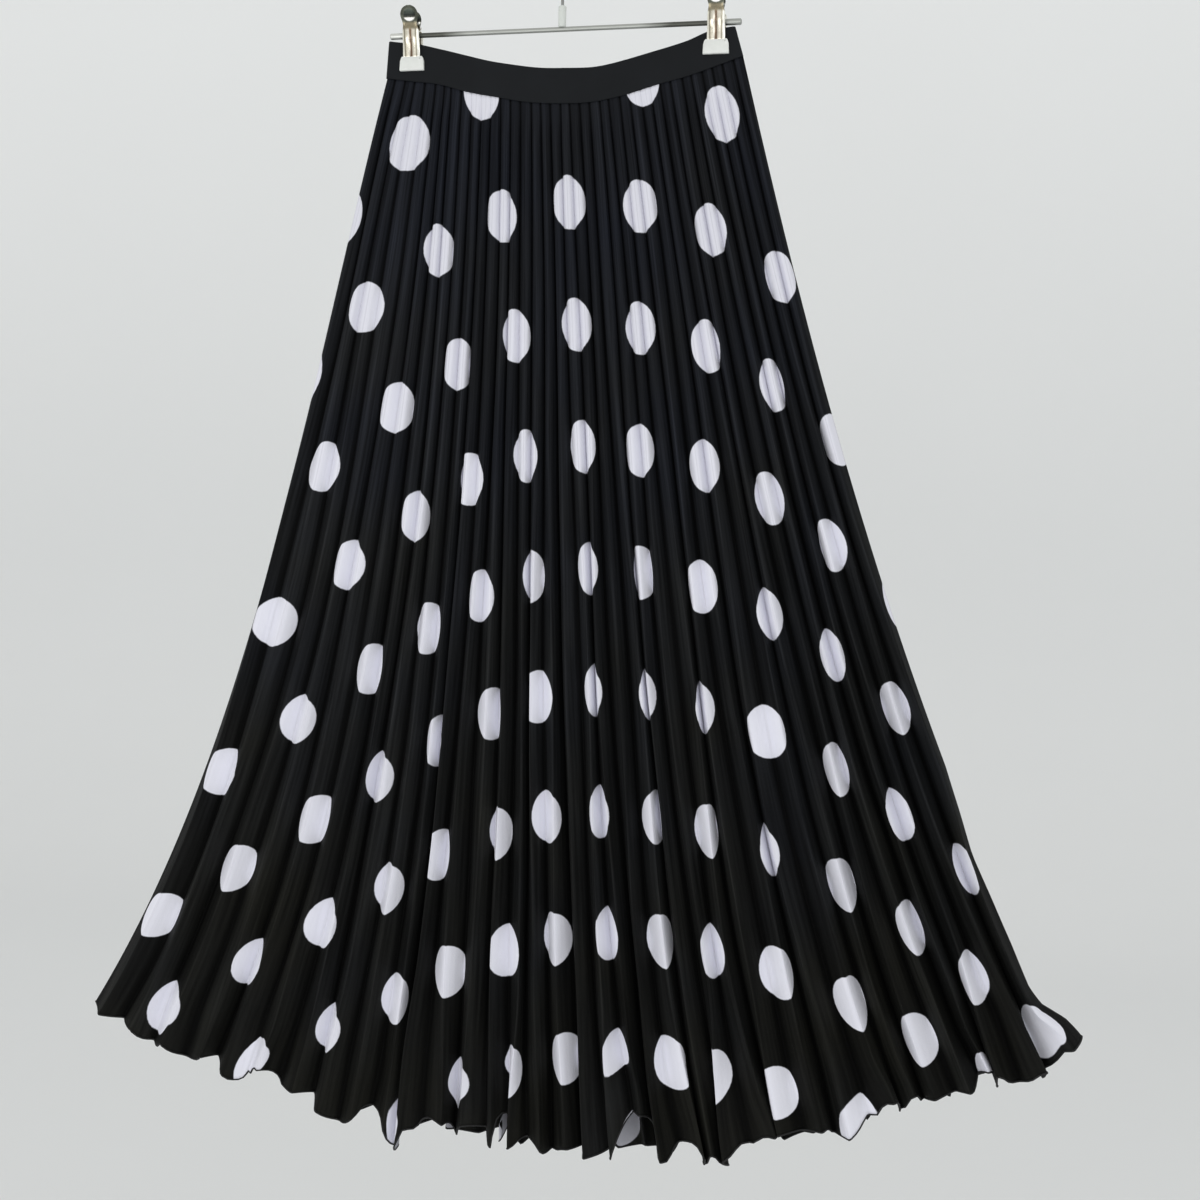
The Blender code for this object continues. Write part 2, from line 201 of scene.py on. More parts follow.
# length above the hem, and how far the right side swings out there
RIGHT_SWING = [
    (0.0, 12.5), (20.0, 7.0), (38.0, -5.0), (60.0, -7.5), (100.0, -6.0),
    (145.0, -6.0), (185.0, -7.0), (225.0, -3.0), (270.0, 0.0),
]
SEAM_DEPTH = 0.7           # depth of the pleats where they enter the band
SEAM_FADE = 40.0           # distance below the seam at which the pleats are full
BASE_Y = 0.28              # inner folds from the middle plane at the sides
HOLLOW_TOP = 7.0           # half gap inside the skirt near the waist
HOLLOW_HEM = 20.0          # half gap inside the skirt at the hem
RISE = 0.30                # how unevenly deep the inner folds lie, in face widths
FLARE = 6.0                # how far the hem's edge curls in and out
# length from the seam, and cut angle hidden round the left and the right side
SIDE_TURN = [
    (0.0, 0.052, 0.0),
    (180.0, 0.050, 0.0),
    (300.0, 0.036, 0.0),
    (430.0, 0.0, 0.0),
    (800.0, 0.0, 0.0),
    (960.0, 0.0, 0.021),
]
SEAM_TAKE = 6.0            # cloth taken up by the waist seam
PLEAT_LENGTH = 950.0       # length over which the folds drift and the print slips
# fold counted from the side, and how far it moves inwards on the back, in pleats, so
# that the back's last pleats lie flat behind the front's edge
SIDE_FLAT = {1: 0.75, 2: 0.4, 3: 0.18}
# pleating stretches and skews the crepe, which moves the print on its cut; all but the
# last on the front only
PRINT_RISE = 10.0          # how far it is drawn up at the band's two ends
PRINT_SPREAD = 8.0         # how far to the right at the hem's right end, and at both sides
PRINT_BELLY = 22.0         # four times how far to the left halfway down
PRINT_CORNER = 6.0         # how far the right corner of the hem is stretched downwards
# where the print's grid of dots lies on each panel's flat cut: turn in radians,
# and the place of one dot in millimetres from the centre of the cut
PRINT = {
    "front": (-0.045, -12.5, 451.5),
    "back": (0.4050, 68.0, 72.0),
}

# ---- stage --------------------------------------------------------------
MIDDLE = Vector((0.0, 0.0, -0.6))   # where the lights aim, in metres
CAMERA_TARGET = Vector((0.048, 0.0, -0.6205))
CAMERA_ANGLES = (12.0, 2.4, 1.3)    # yaw to the right, rise and roll, in degrees
IMAGE_WIDTH = 1200                  # pixels, each 0.93 mm at the skirt
PIXEL = 0.93
FLOOR_Z = -1.9                      # metres, as are the sizes of the floor below
FLOOR_SIZE = 14.0
FLOOR_FRONT = 5.5                   # how far the floor reaches to the front
BEND_START = 3.6                    # how far behind the skirt it begins to sweep up
BEND_RADIUS = 1.2


# ---- small tools --------------------------------------------------------
def smooth(t):
    t = min(1.0, max(0.0, t))
    return t * t * (3.0 - 2.0 * t)


def table(rows, x, column):
    """Smooth value of one column of a table at x (cubic through the rows)."""
    n = len(rows)
    k = 0
    while k < n - 2 and x > rows[k + 1][0]:
        k += 1
    x0, x1 = rows[k][0], rows[k + 1][0]
    y0, y1 = rows[k][column], rows[k + 1][column]

    def slope(j):
        a, b = max(0, j - 1), min(n - 1, j + 1)
        return (rows[b][column] - rows[a][column]) / (rows[b][0] - rows[a][0])

    t = (x - x0) / (x1 - x0)
    if t < 0.0 or t > 1.0:
        edge = min(1.0, max(0.0, t))
        return (y0 if edge == 0.0 else y1) + (t - edge) * (x1 - x0) * slope(k + int(edge))
    h = x1 - x0
    return ((2 * t ** 3 - 3 * t ** 2 + 1) * y0 + (t ** 3 - 2 * t ** 2 + t) * h * slope(k)
            + (3 * t ** 2 - 2 * t ** 3) * y1 + (t ** 3 - t ** 2) * h * slope(k + 1))


def noise(i, k):
    """Repeatable number from -1 to 1."""
    s = math.sin(i * 12.9898 + k * 78.233) * 43758.5453
    return 2.0 * (s - math.floor(s)) - 1.0


def linear(colour):
    """sRGB hex colour as linear RGBA."""
    out = []
    for k in (1, 3, 5):
        c = int(colour[k:k + 2], 16) / 255.0
        out.append(c / 12.92 if c <= 0.04045 else ((c + 0.055) / 1.055) ** 2.4)
    return (*out, 1.0)


def add_object(name, data):
    obj = bpy.data.objects.new(name, data)
    bpy.context.scene.collection.objects.link(obj)
    return obj


def smooth_object(name, bm, materials):
    """Makes a smooth shaded object from a mesh that was built in place."""
    mesh = bpy.data.meshes.new(name)
    bm.to_mesh(mesh)
    bm.free()
    for mat in materials:
        mesh.materials.append(mat)
    mesh.shade_smooth()
    return add_object(name, mesh)


def finish_piece(name, bm, materials, replaces):
    """Makes the piece from its mesh, in place, riding on the one body."""
    obj = smooth_object(name, bm, materials)
    attach(obj, replaces)
    return obj


def attach(obj, replaces):
    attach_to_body(obj, BODY)
    if replaces:
        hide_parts(*replaces)


def wall(obj, thickness, **settings):
    """Turns an open sheet into a closed wall, half to each side."""
    mod = obj.modifiers.new("wall", "SOLIDIFY")
    mod.thickness = thickness * MM
    mod.offset = 0.0
    mod.use_even_offset = True
    for key, value in settings.items():
        setattr(mod, key, value)


def soften(obj, width, segments=2, angle=40.0):
    mod = obj.modifiers.new("soft edges", "BEVEL")
    mod.width = width * MM
    mod.segments = segments
    mod.limit_method = "ANGLE"
    mod.angle_limit = math.radians(angle)
    mod.harden_normals = False


# ---- materials ----------------------------------------------------------
def new_material(name):
    mat = bpy.data.materials.new(name)
    mat.use_nodes = True
    mat.node_tree.nodes.clear()
    shader = add_node(mat, "BsdfPrincipled")
    add_node(mat, "OutputMaterial", {"Surface": shader})
    return mat, shader


def add_node(mat, kind, inputs=None, **settings):
    """Adds one node with its settings, and with the values and links of its inputs."""
    node = mat.node_tree.nodes.new("ShaderNode" + kind)
    for key, value in settings.items():
        setattr(node, key, value)
    feed(mat, node, inputs or {})
    return node


def feed(mat, node, inputs):
    """Gives each input, by name or number, its value or a link. The link comes from a
    socket, or from a node's first output in use."""
    for key, value in inputs.items():
        if isinstance(value, bpy.types.Node):
            value = next(out for out in value.outputs if out.enabled)
        if isinstance(value, bpy.types.NodeSocket):
            mat.node_tree.links.new(value, node.inputs[key])
        else:
            node.inputs[key].default_value = value


def colour_stops(node, tones):
    """Sets a ramp's stops from pairs of place and sRGB hex colour."""
    stops = node.color_ramp.elements
    for k, (at, tone) in enumerate(tones):
        stop = stops[k] if k < 2 else stops.new(at)
        stop.position = at
        stop.color = linear(tone)


def crepe(name, cloth, dot, looks, sheen):
    """Polyester crepe, woven, printed and heat pleated: matte with a faint grain. Light is
    partly painted into its colour: a thin painted highlight along each pressed outer fold,
    painted shade in the inner folds and towards the hem, and painted sheen that differs from
    face to face. The print's dots lie on the flat cut, so the pleats cut them as they cut the
    real print."""
    mat, shader = new_material(name)
    radius = looks.dot_diameter / looks.dot_repeat / 2.0
    soft = 0.5 * MM / looks.dot_repeat
    grid = add_node(mat, "UVMap", uv_map="print")
    fall = add_node(mat, "UVMap", uv_map="fall")
    half = add_node(mat, "VectorMath", {0: grid, 1: (0.5, 0.5, 0.0)}, operation="ADD")
    cell = add_node(mat, "VectorMath", {0: half}, operation="FRACTION")
    centred = add_node(mat, "VectorMath", {0: cell, 1: (0.5, 0.5, 0.0)}, operation="SUBTRACT")
    reach = add_node(mat, "VectorMath", {0: centred}, operation="LENGTH")
    # the print's edge bleeds a little into the crepe: ripples about 3 mm long
    bleed = add_node(mat, "TexNoise", {"Vector": grid, "Scale": 36.0, "Detail": 1.0})
    edge = add_node(mat, "Math", {0: bleed, 1: 0.006, 2: -0.003}, operation="MULTIPLY_ADD")
    moved = add_node(mat, "Math", {0: reach, 1: edge}, operation="ADD")
    inside = add_node(mat, "MapRange", {"Value": moved, "From Min": radius - soft,
                                        "From Max": radius + soft, "To Min": 1.0, "To Max": 0.0})
    # the dye is uneven in patches of about 150 mm, and bluer at the band than at the hem
    patches = add_node(mat, "TexNoise", {"Vector": grid, "Scale": 0.75})
    split = add_node(mat, "SeparateXYZ", {0: fall})
    fold, down = split.outputs["X"], split.outputs["Y"]
    share = add_node(mat, "Math", {0: down, 1: 0.7, 2: patches}, operation="MULTIPLY_ADD")
    share = add_node(mat, "MapRange", {"Value": share, "From Min": 0.45, "From Max": 1.25})
    dyed = add_node(mat, "Mix", {0: share, 6: linear(cloth), 7: linear(looks.cloth_warm)},
                    data_type="RGBA")
    # streaks along the pleats, 2 to 6 mm wide and 60 to 150 mm long
    stretch = add_node(mat, "Mapping", {"Vector": fall, "Scale": (6.0, 8.0, 1.0)})
    streaks = add_node(mat, "TexNoise", {"Vector": stretch, "Scale": 1.0, "Detail": 3.0})
    streaked = add_node(mat, "MapRange", {"Value": streaks, "From Min": 0.3, "From Max": 0.7,
                                          "To Min": 0.55, "To Max": 1.42})
    # the fall map's x counts folds: outer ones at odd numbers, which get a thin painted
    # highlight line where the press left them, and inner ones at even numbers, which get
    # painted shade where little light reaches
    press = add_node(mat, "Math", {0: fold, 1: 1.0}, operation="PINGPONG")
    crease = add_node(mat, "MapRange", {"Value": press, "From Min": 0.80},
                      interpolation_type="SMOOTHSTEP")
    # the painted highlight line comes and goes along each fold
    stretch = add_node(mat, "Mapping", {"Vector": fall, "Scale": (0.7, 5.0, 1.0)})
    painted_light_pattern = add_node(mat, "TexNoise", {"Vector": stretch, "Scale": 1.0})
    line = add_node(mat, "MapRange", {"Value": painted_light_pattern, "From Min": 0.48, "From Max": 0.66,
                                      "To Max": looks.painted_crease_highlight})
    streaks_and_painted_highlight = add_node(mat, "Math", {0: crease, 1: line, 2: streaked}, operation="MULTIPLY_ADD")
    # painted shade in the inner folds, a little less dark towards the hem
    depth = add_node(mat, "MapRange", {"Value": down, "From Max": 0.7, "To Min": 0.10,
                                       "To Max": 0.12})
    painted_valley_shade = add_node(mat, "MapRange", {"Value": press, "From Max": 0.50, "To Min": depth},
                      interpolation_type="SMOOTHSTEP")
    # painted shade: the cloth is darkened towards the hem, where the pleats stand deeper and
    # their faces get less light
    painted_hem_shade = add_node(mat, "MapRange", {"Value": down, "From Min": 0.45, "From Max": 0.95,
                                     "To Min": 1.0, "To Max": 0.74},
                   interpolation_type="SMOOTHSTEP")
    # painted sheen: each face is made lighter or darker at random, for the gloss it took from
    # the press
    face = add_node(mat, "Math", {0: fold}, operation="FLOOR")
    chance = add_node(mat, "TexWhiteNoise", {"W": face}, noise_dimensions="1D")
    tone = add_node(mat, "MapRange", {"Value": chance, "To Min": 0.62, "To Max": 1.34})
    for part in (painted_valley_shade, streaks_and_painted_highlight, painted_hem_shade):
        tone = add_node(mat, "Math", {0: tone, 1: part}, operation="MULTIPLY")
    ground = add_node(mat, "Mix", {0: 1.0, 6: dyed, 7: tone}, data_type="RGBA",
                      blend_type="MULTIPLY")
    # on a dot, painted shade darkens an inner fold a little and the dots near the band, where
    # the close pleats shade each other, and a thin line of painted shade marks the outer fold
    dot_tone_and_painted_shade = add_node(mat, "MapRange", {"Value": streaks, "From Min": 0.3, "From Max": 0.7,
                                          "To Min": 0.965})
    dot_valley_painted_shade = add_node(mat, "MapRange", {"Value": press, "From Max": 0.16, "To Min": 0.84})
    close = add_node(mat, "MapRange", {"Value": down, "From Min": 0.10, "From Max": 0.45,
                                       "To Min": 0.90})
    dot_fold_painted_shade = add_node(mat, "MapRange", {"Value": press, "From Min": 0.90, "From Max": 0.985,
                                          "To Min": 1.0, "To Max": 0.88},
                        interpolation_type="SMOOTHSTEP")
    for part in (dot_valley_painted_shade, close, dot_fold_painted_shade):
        dot_tone_and_painted_shade = add_node(mat, "Math", {0: dot_tone_and_painted_shade, 1: part}, operation="MULTIPLY")
    printed = add_node(mat, "Mix", {0: 1.0, 6: linear(dot), 7: dot_tone_and_painted_shade}, data_type="RGBA",
                       blend_type="MULTIPLY")
    # crepe grain: the yarns are 0.3 mm apart, drawn here at 1.2 mm so that it shows
    grain = add_node(mat, "TexNoise", {"Vector": grid, "Scale": 92.0})
    weave = add_node(mat, "Math", {0: streaks, 1: 0.8, 2: grain}, operation="MULTIPLY_ADD")
    woven = add_node(mat, "Bump", {"Height": weave, "Strength": 0.5, "Distance": 0.4 * MM})
    # soft crumples in the cloth between the folds, about 12 mm wide and 50 mm long
    stretch = add_node(mat, "Mapping", {"Vector": fall, "Scale": (2.2, 20.0, 1.0),
                                        "Rotation": (0.0, 0.0, 0.12)})
    crumple = add_node(mat, "TexNoise", {"Vector": stretch, "Scale": 1.0})
    feed(mat, shader, {
        "Base Color": add_node(mat, "Mix", {0: inside, 6: ground, 7: printed},
                               data_type="RGBA"),
        "Normal": add_node(mat, "Bump", {"Height": crumple, "Strength": 0.4,
                                         "Distance": 1.4 * MM, "Normal": woven}),
        "Roughness": add_node(mat, "MapRange", {"Value": grain, "From Min": 0.3,
                                                "From Max": 0.7, "To Min": 0.62,
                                                "To Max": 0.76}),
        "Specular IOR Level": 0.05,
        "Sheen Weight": sheen,
        "Sheen Roughness": 0.45,
    })
    return mat


def band_cloth(name, colour):
    """Firm woven band, black: matte, with fine ribs running round the waist."""
    mat, shader = new_material(name)
    place = add_node(mat, "TexCoord").outputs["Object"]
    stretch = add_node(mat, "Mapping", {"Vector": place, "Scale": (180.0, 180.0, 900.0)})
    ribs = add_node(mat, "TexNoise", {"Vector": stretch, "Scale": 1.0})
    cloud = add_node(mat, "TexNoise", {"Vector": place, "Scale": 22.0})
    tone = add_node(mat, "MapRange", {"Value": cloud, "From Min": 0.3, "From Max": 0.7,
                                      "To Min": 0.86, "To Max": 1.12})
    feed(mat, shader, {
        "Base Color": add_node(mat, "Mix", {0: 1.0, 6: linear(colour), 7: tone},
                               data_type="RGBA", blend_type="MULTIPLY"),
        "Normal": add_node(mat, "Bump", {"Height": ribs, "Strength": 0.3,
                                         "Distance": 0.3 * MM}),
        "Roughness": 0.75,
        "Specular IOR Level": 0.15,
        "Sheen Weight": 0.01,
    })
    return mat


def hem_thread(name, colour):
    """Spun polyester thread wound close round the hem's edge: matte black."""
    mat, shader = new_material(name)
    place = add_node(mat, "TexCoord").outputs["Object"]
    wound = add_node(mat, "TexNoise", {"Vector": place, "Scale": 900.0, "Detail": 1.0})
    tone = add_node(mat, "MapRange", {"Value": wound, "From Min": 0.3, "From Max": 0.7,
                                      "To Min": 0.6, "To Max": 1.2})
    feed(mat, shader, {
        "Base Color": add_node(mat, "Mix", {0: 1.0, 6: linear(colour), 7: tone},
                               data_type="RGBA", blend_type="MULTIPLY"),
        "Normal": add_node(mat, "Bump", {"Height": wound, "Strength": 0.4,
                                         "Distance": 0.3 * MM}),
        "Roughness": 0.8,
    })
    return mat


def plated_steel(name, colour, gloss, scratch):
    """Drawn steel with a nickel and chrome plate. Handling leaves faint scratches and
    dull patches, so the gloss varies a little."""
    mat, shader = new_material(name)
    place = add_node(mat, "TexCoord").outputs["Object"]
    stretch = add_node(mat, "Mapping", {"Vector": place, "Scale": scratch})
    marks = add_node(mat, "TexNoise", {"Vector": stretch, "Scale": 1.0, "Detail": 4.0})
    tone = add_node(mat, "MapRange", {"Value": marks, "From Min": 0.3, "From Max": 0.7,
                                      "To Min": 0.9})
    feed(mat, shader, {
        "Base Color": add_node(mat, "Mix", {0: 1.0, 6: linear(colour), 7: tone},
                               data_type="RGBA", blend_type="MULTIPLY"),
        "Roughness": add_node(mat, "MapRange", {"Value": marks, "From Min": 0.35,
                                                "From Max": 0.7, "To Min": gloss[0],
                                                "To Max": gloss[1]}),
        "Metallic": 1.0,
    })
    return mat


def bar_steel(name, pale):
    """Drawn steel rod with a satin plate, pale in the middle and under the end sleeves. Near
    each clip a band of painted reflection darkens it, for the dark cloth below it."""
    mat, shader = new_material(name)
    place = add_node(mat, "TexCoord").outputs["Object"]
    stretch = add_node(mat, "Mapping", {"Vector": place, "Scale": (40.0, 900.0, 900.0)})
    marks = add_node(mat, "TexNoise", {"Vector": stretch, "Scale": 1.0, "Detail": 4.0})
    split = add_node(mat, "SeparateXYZ", {0: place})
    along = add_node(mat, "Math", {0: marks, 1: 0.02, 2: split.outputs["X"]},
                     operation="MULTIPLY_ADD")
    along = add_node(mat, "MapRange", {"Value": along, "From Min": -0.16, "From Max": 0.18})
    painted_light_pattern = add_node(mat, "ValToRGB", {0: along})
    # the dark bands near the clips are painted reflection
    sleeve, dark_painted_reflection = "#d2d3cf", "#575853"
    colour_stops(painted_light_pattern, [
        (0.0, sleeve), (0.04, sleeve), (0.06, dark_painted_reflection), (0.16, dark_painted_reflection), (0.24, pale),
        (0.72, pale), (0.80, dark_painted_reflection), (0.90, dark_painted_reflection), (0.94, pale), (1.0, pale)])
    feed(mat, shader, {
        "Base Color": painted_light_pattern,
        "Roughness": add_node(mat, "MapRange", {"Value": marks, "From Min": 0.35,
                                                "From Max": 0.7, "To Min": 0.42,
                                                "To Max": 0.56}),
        "Metallic": 1.0,
    })
    return mat


def clip_plate(name):
    """Pressed steel with a nickel and chrome plate, whose reflections are painted into its
    colour: stripes of painted highlight and painted reflection across the jaw, brown in the
    groove and beside the ribs, taupe in the neck, and a nearly black painted reflection in the
    dish of the finger tab, with a bright painted highlight along its lower rim."""
    mat, shader = new_material(name)
    plate = add_node(mat, "UVMap", uv_map="plate")
    split = add_node(mat, "SeparateXYZ", {0: plate})
    over, height = split.outputs["X"], split.outputs["Y"]
    place = add_node(mat, "TexCoord").outputs["Object"]
    marks = add_node(mat, "TexNoise", {"Vector": place, "Scale": 300.0, "Detail": 3.0})
    wander = add_node(mat, "Math", {0: marks, 1: 0.10, 2: -0.05}, operation="MULTIPLY_ADD")
    across = add_node(mat, "Math", {0: over, 1: wander}, operation="ADD")
    across = add_node(mat, "MapRange", {"Value": across, "From Min": -1.0})
    # place across the jaw and the plate's tone there: stripes of painted highlight and painted
    # reflection
    stripes = add_node(mat, "ValToRGB", {0: across})
    colour_stops(stripes, [
        (0.0, "#f2f0e6"), (0.09, "#e4e0d2"), (0.15, "#6f6858"), (0.22, "#c9c3b2"),
        (0.38, "#e9e4d8"), (0.45, "#7a6450"), (0.54, "#6b5748"), (0.61, "#d2cabb"),
        (0.74, "#e2ddd0"), (0.83, "#8b8472"), (0.89, "#f4f2ea"), (1.0, "#f6f5ee")])
    # above the stripes comes the neck, and then the lower rim of the finger tab, both in painted
    # reflection tones
    outside = stripes
    for start, end, tone in ((0.25, 0.55, "#857d69"), (0.85, 1.15, "#565950")):
        share = add_node(mat, "MapRange", {"Value": height, "From Min": start,
                                           "From Max": end}, interpolation_type="SMOOTHSTEP")
        outside = add_node(mat, "Mix", {0: share, 6: outside, 7: linear(tone)},
                           data_type="RGBA")
    # the dish: its middle is 16.4 mm above the bar, and it is 7 mm in radius. It holds a nearly
    # black painted reflection, with a bright painted highlight along its lower rim.
    dish = add_node(mat, "Mapping", {"Vector": plate, "Location": (0.0, -1.97, 0.0),
                                     "Scale": (0.85, 1.2, 1.0)})
    reach = add_node(mat, "VectorMath", {0: dish}, operation="LENGTH")
    bowl = add_node(mat, "MapRange", {"Value": reach, "From Min": 0.56, "From Max": 0.70,
                                      "To Min": 1.0, "To Max": 0.0})
    rise = add_node(mat, "Math", {0: marks, 1: 0.12, 2: height}, operation="MULTIPLY_ADD")
    rise = add_node(mat, "MapRange", {"Value": rise, "From Min": 0.9, "From Max": 2.45})
    dish_painted_reflection = add_node(mat, "ValToRGB", {0: rise})
    colour_stops(dish_painted_reflection, [
        (0.0, "#8f8c80"), (0.12, "#ffffff"), (0.33, "#fbfaf4"), (0.41, "#3a3b36"),
        (0.52, "#1d1f1e"), (0.74, "#3f4540"), (1.0, "#59605a")])
    feed(mat, shader, {
        "Base Color": add_node(mat, "Mix", {0: bowl, 6: outside, 7: dish_painted_reflection},
                               data_type="RGBA"),
        "Roughness": add_node(mat, "MapRange", {"Value": marks, "From Min": 0.35,
                                                "From Max": 0.7, "To Min": 0.20,
                                                "To Max": 0.38}),
        "Metallic": 1.0,
    })
    return mat


def soft_plastic(name, colour, rough, cloudy):
    """Moulded polypropylene, milky: light sinks in a little, and the skin is satin."""
    mat, shader = new_material(name)
    place = add_node(mat, "TexCoord").outputs["Object"]
    clouds = add_node(mat, "TexNoise", {"Vector": place, "Scale": 160.0, "Detail": 3.0})
    tone = add_node(mat, "MapRange", {"Value": clouds, "From Min": 0.3, "From Max": 0.7,
                                      "To Min": 0.93})
    feed(mat, shader, {
        "Base Color": add_node(mat, "Mix", {0: 1.0, 6: linear(colour), 7: tone},
                               data_type="RGBA", blend_type="MULTIPLY"),
        "Roughness": add_node(mat, "MapRange", {"Value": clouds, "From Min": 0.3,
                                                "From Max": 0.7, "To Min": rough - 0.06,
                                                "To Max": rough + 0.08}),
        "IOR": 1.49,
        "Subsurface Weight": cloudy,
        "Subsurface Radius": (0.003, 0.003, 0.003),
        "Subsurface Scale": 1.0,
    })
    return mat


def backdrop_paper(name, colour):
    """Seamless paper, with painted light: darker on the floor, lighter higher up where it hangs.
    """
    mat, shader = new_material(name)
    place = add_node(mat, "TexCoord").outputs["Object"]
    fibres = add_node(mat, "TexNoise", {"Vector": place, "Scale": 1.2, "Detail": 3.0})
    split = add_node(mat, "SeparateXYZ", {0: place})
    height = add_node(mat, "Math", {0: fibres, 1: 0.5, 2: split.outputs["Z"]},
                      operation="MULTIPLY_ADD")
    # painted light: the paper is darker low down and lighter high up
    tone = add_node(mat, "MapRange", {"Value": height, "From Min": -1.65, "From Max": 1.75,
                                      "To Min": 0.94, "To Max": 1.13})
    feed(mat, shader, {
        "Base Color": add_node(mat, "Mix", {0: 1.0, 6: linear(colour), 7: tone},
                               data_type="RGBA", blend_type="MULTIPLY"),
        "Roughness": 0.95,
        "Specular IOR Level": 0.1,
    })
    return mat


# ---- the pleated fan ----------------------------------------------------
def fan(phi):
    """Cubic that the fold at a cut angle follows down the skirt, from the fan table."""
    waist = HALF_WAIST * phi / SECTOR
    fold = PLEATS * (1.0 + phi / SECTOR)
    p, q, r = (table(FAN, fold, k) - waist for k in (1, 2, 3))
    return (waist, 9.0 * p - 4.5 * q + r, 18.0 * q - 22.5 * p - 4.5 * r,
            13.5 * (p - q) + 4.5 * r)


def fan_x(phi, v):
    a, b, c, d = fan(phi)
    t = v / FAN_SPAN
    return a + b * t + c * t ** 2 + d * t ** 3


def fan_z(phi, v):
    """Height of a point of the fan: each pleat keeps its cut length."""
    a, b, c, d = fan(phi)
    steps = 10
    fall = 0.0
    for k in range(steps):
        t = v / FAN_SPAN * (k + 0.5) / steps
        lean = (b + 2.0 * c * t + 3.0 * d * t ** 2) / FAN_SPAN
        fall += math.sqrt(max(0.05, 1.0 - lean * lean)) / steps
    return -BAR_DROP - table(BAND_EDGES, a, 1) - v * fall


def band_open(x):
    """Half gap between the front and back band at x."""
    return 0.5 * BAND_OPEN * max(0.0, 1.0 - (x / BAND_PINCH) ** 2)


def hollow(phi, v):
    """Distance of the inner folds from the middle plane."""
    lens = 1.0 - (phi / SECTOR) ** 2
    below = (HOLLOW_TOP + (HOLLOW_HEM - HOLLOW_TOP) * v / FAN_SPAN) * lens
    mix = smooth(v / 120.0)
    return 0.5 + 0.4 * mix + band_open(fan(phi)[0]) * (1.0 - mix) + below * mix


def drift(i, k):
    """Chance number from about -1 to 1 that changes gently from fold to fold."""
    return 0.6 * noise(i, k) + 0.3 * (noise(i - 1, k) + noise(i + 1, k))


def shift(i, v, seed):
    """How far inner fold i lies from its even place, in pleats."""
    if i <= 0 or i >= PLEATS:
        return 0.0
    if seed != FRONT_SEED and min(i, PLEATS - i) in SIDE_FLAT:
        inwards = SIDE_FLAT[min(i, PLEATS - i)] * smooth(v / 300.0)
        return inwards if i < PLEATS / 2 else -inwards
    t = smooth(v / PLEAT_LENGTH)
    place = FOLD_DRIFT[0] * drift(i, seed + DRIFT_DRAW) * (1.0 - t)
    place += FOLD_DRIFT[1] * drift(i, seed + DRIFT_DRAW + 1) * t
    return place + FOLD_SWING * math.sin(math.tau * (v / FOLD_WAVE + noise(i, seed + 7)))


def inner_fold(i, v, seed):
    """x and outward y of inner fold i."""
    step = 2.0 * SECTOR / PLEATS
    phi = -SECTOR + i * step
    if i <= 0 or i >= PLEATS:
        return Vector((fan_x(phi, v), BASE_Y))
    face = (WAIST_RADIUS + v) * step / 2.0
    x = fan_x(phi + shift(i, v, seed) * step, v)
    grow = 0.35 + 0.65 * smooth(v / 600.0)
    wave = noise(i, seed) + 0.5 * math.sin(math.tau * (v / 620.0 + noise(i, seed + 3)))
    y = hollow(phi, v) + face * RISE * (0.45 + 0.55 * wave) * grow * smooth(v / 60.0)
    y += FLARE * noise(i, seed + 11) * smooth((v - 800.0) / 170.0)
    return Vector((x, max(BASE_Y, y)))


def outer_fold(a, b, i, v, seed):
    """x and outward y of the outer fold between inner folds a and b: both faces keep
    their cut width."""
    face = (WAIST_RADIUS + v) * SECTOR / PLEATS
    chord = b - a
    half = chord.length / 2.0
    depth = math.sqrt(max((0.22 * face) ** 2, face * face - half * half))
    depth = SEAM_DEPTH + (depth - SEAM_DEPTH) * smooth(v / SEAM_FADE)
    out = Vector((-chord.y, chord.x)).normalized()
    tip = (a + b) / 2.0 + out * depth
    tip += Vector((0.7, 1.0)) * FLARE * noise(i, seed + 13) * smooth((v - 820.0) / 150.0)
    return Vector((tip.x, max(BASE_Y, tip.y)))


def broken(rows, x):
    """Value at x of a line through the rows."""
    k = 0
    while k < len(rows) - 2 and x > rows[k + 1][0]:
        k += 1
    (x0, y0), (x1, y1) = rows[k], rows[k + 1]
    return y0 + (y1 - y0) * min(1.0, max(0.0, (x - x0) / (x1 - x0)))


def ragged(k, seed):
    """Chance height of the hem's edge at fold number k, from -1 to 1."""
    j = math.floor(k)
    here, there = noise(j, seed + 21), noise(j + 1, seed + 21)
    return here + (there - here) * (k - j)


def hem_drop(k, v, phi, seed):
    """How far a point at fold number k hangs below its cut length. The edge is ragged and
    curls in tips and notches; a large curl begins further up than a small one."""
    above = table(HEM_LENGTH, phi, 1) - v
    if above > HEM_SPRING:
        return 0.0
    front = seed == FRONT_SEED
    uneven = HEM_RAGGED["front" if front else "back"] * ragged(k, seed)
    sag = 0.0 if front else BACK_SAG * (1.0 - (phi / SECTOR) ** 2)
    drop = (uneven + sag) * smooth(min(k, 2 * PLEATS - k) / 3.0)
    drop *= smooth(1.0 - above / HEM_SPRING)
    for middle, half, down in (*(HEM_CURLS if front else ()), CORNER_CURL):
        reach = abs(k - middle) / half
        if reach < 1.0:
            fade = smooth(1.0 - above / (40.0 + 1.8 * abs(down)))
            drop += down * (1.0 - reach ** 3) * fade
    return drop


def folds(share, seed):
    """Every fold across one panel at a share of the length: place, cut angle, length."""
    step = 2.0 * SECTOR / PLEATS
    inner = []
    for i in range(PLEATS + 1):
        phi = -SECTOR + i * step
        v = share * table(HEM_LENGTH, phi, 1)
        inner.append((inner_fold(i, v, seed), phi, v))
    pts = []
    for i, (place, phi, v) in enumerate(inner):
        pts.append((Vector((*place, fan_z(phi, v))), phi, v))
        if i < PLEATS:
            phi += step / 2.0
            v = share * table(HEM_LENGTH, phi, 1)
            tip = outer_fold(place, inner[i + 1][0], i, v, seed)
            pts.append((Vector((*tip, fan_z(phi, v))), phi, v))
    return pts


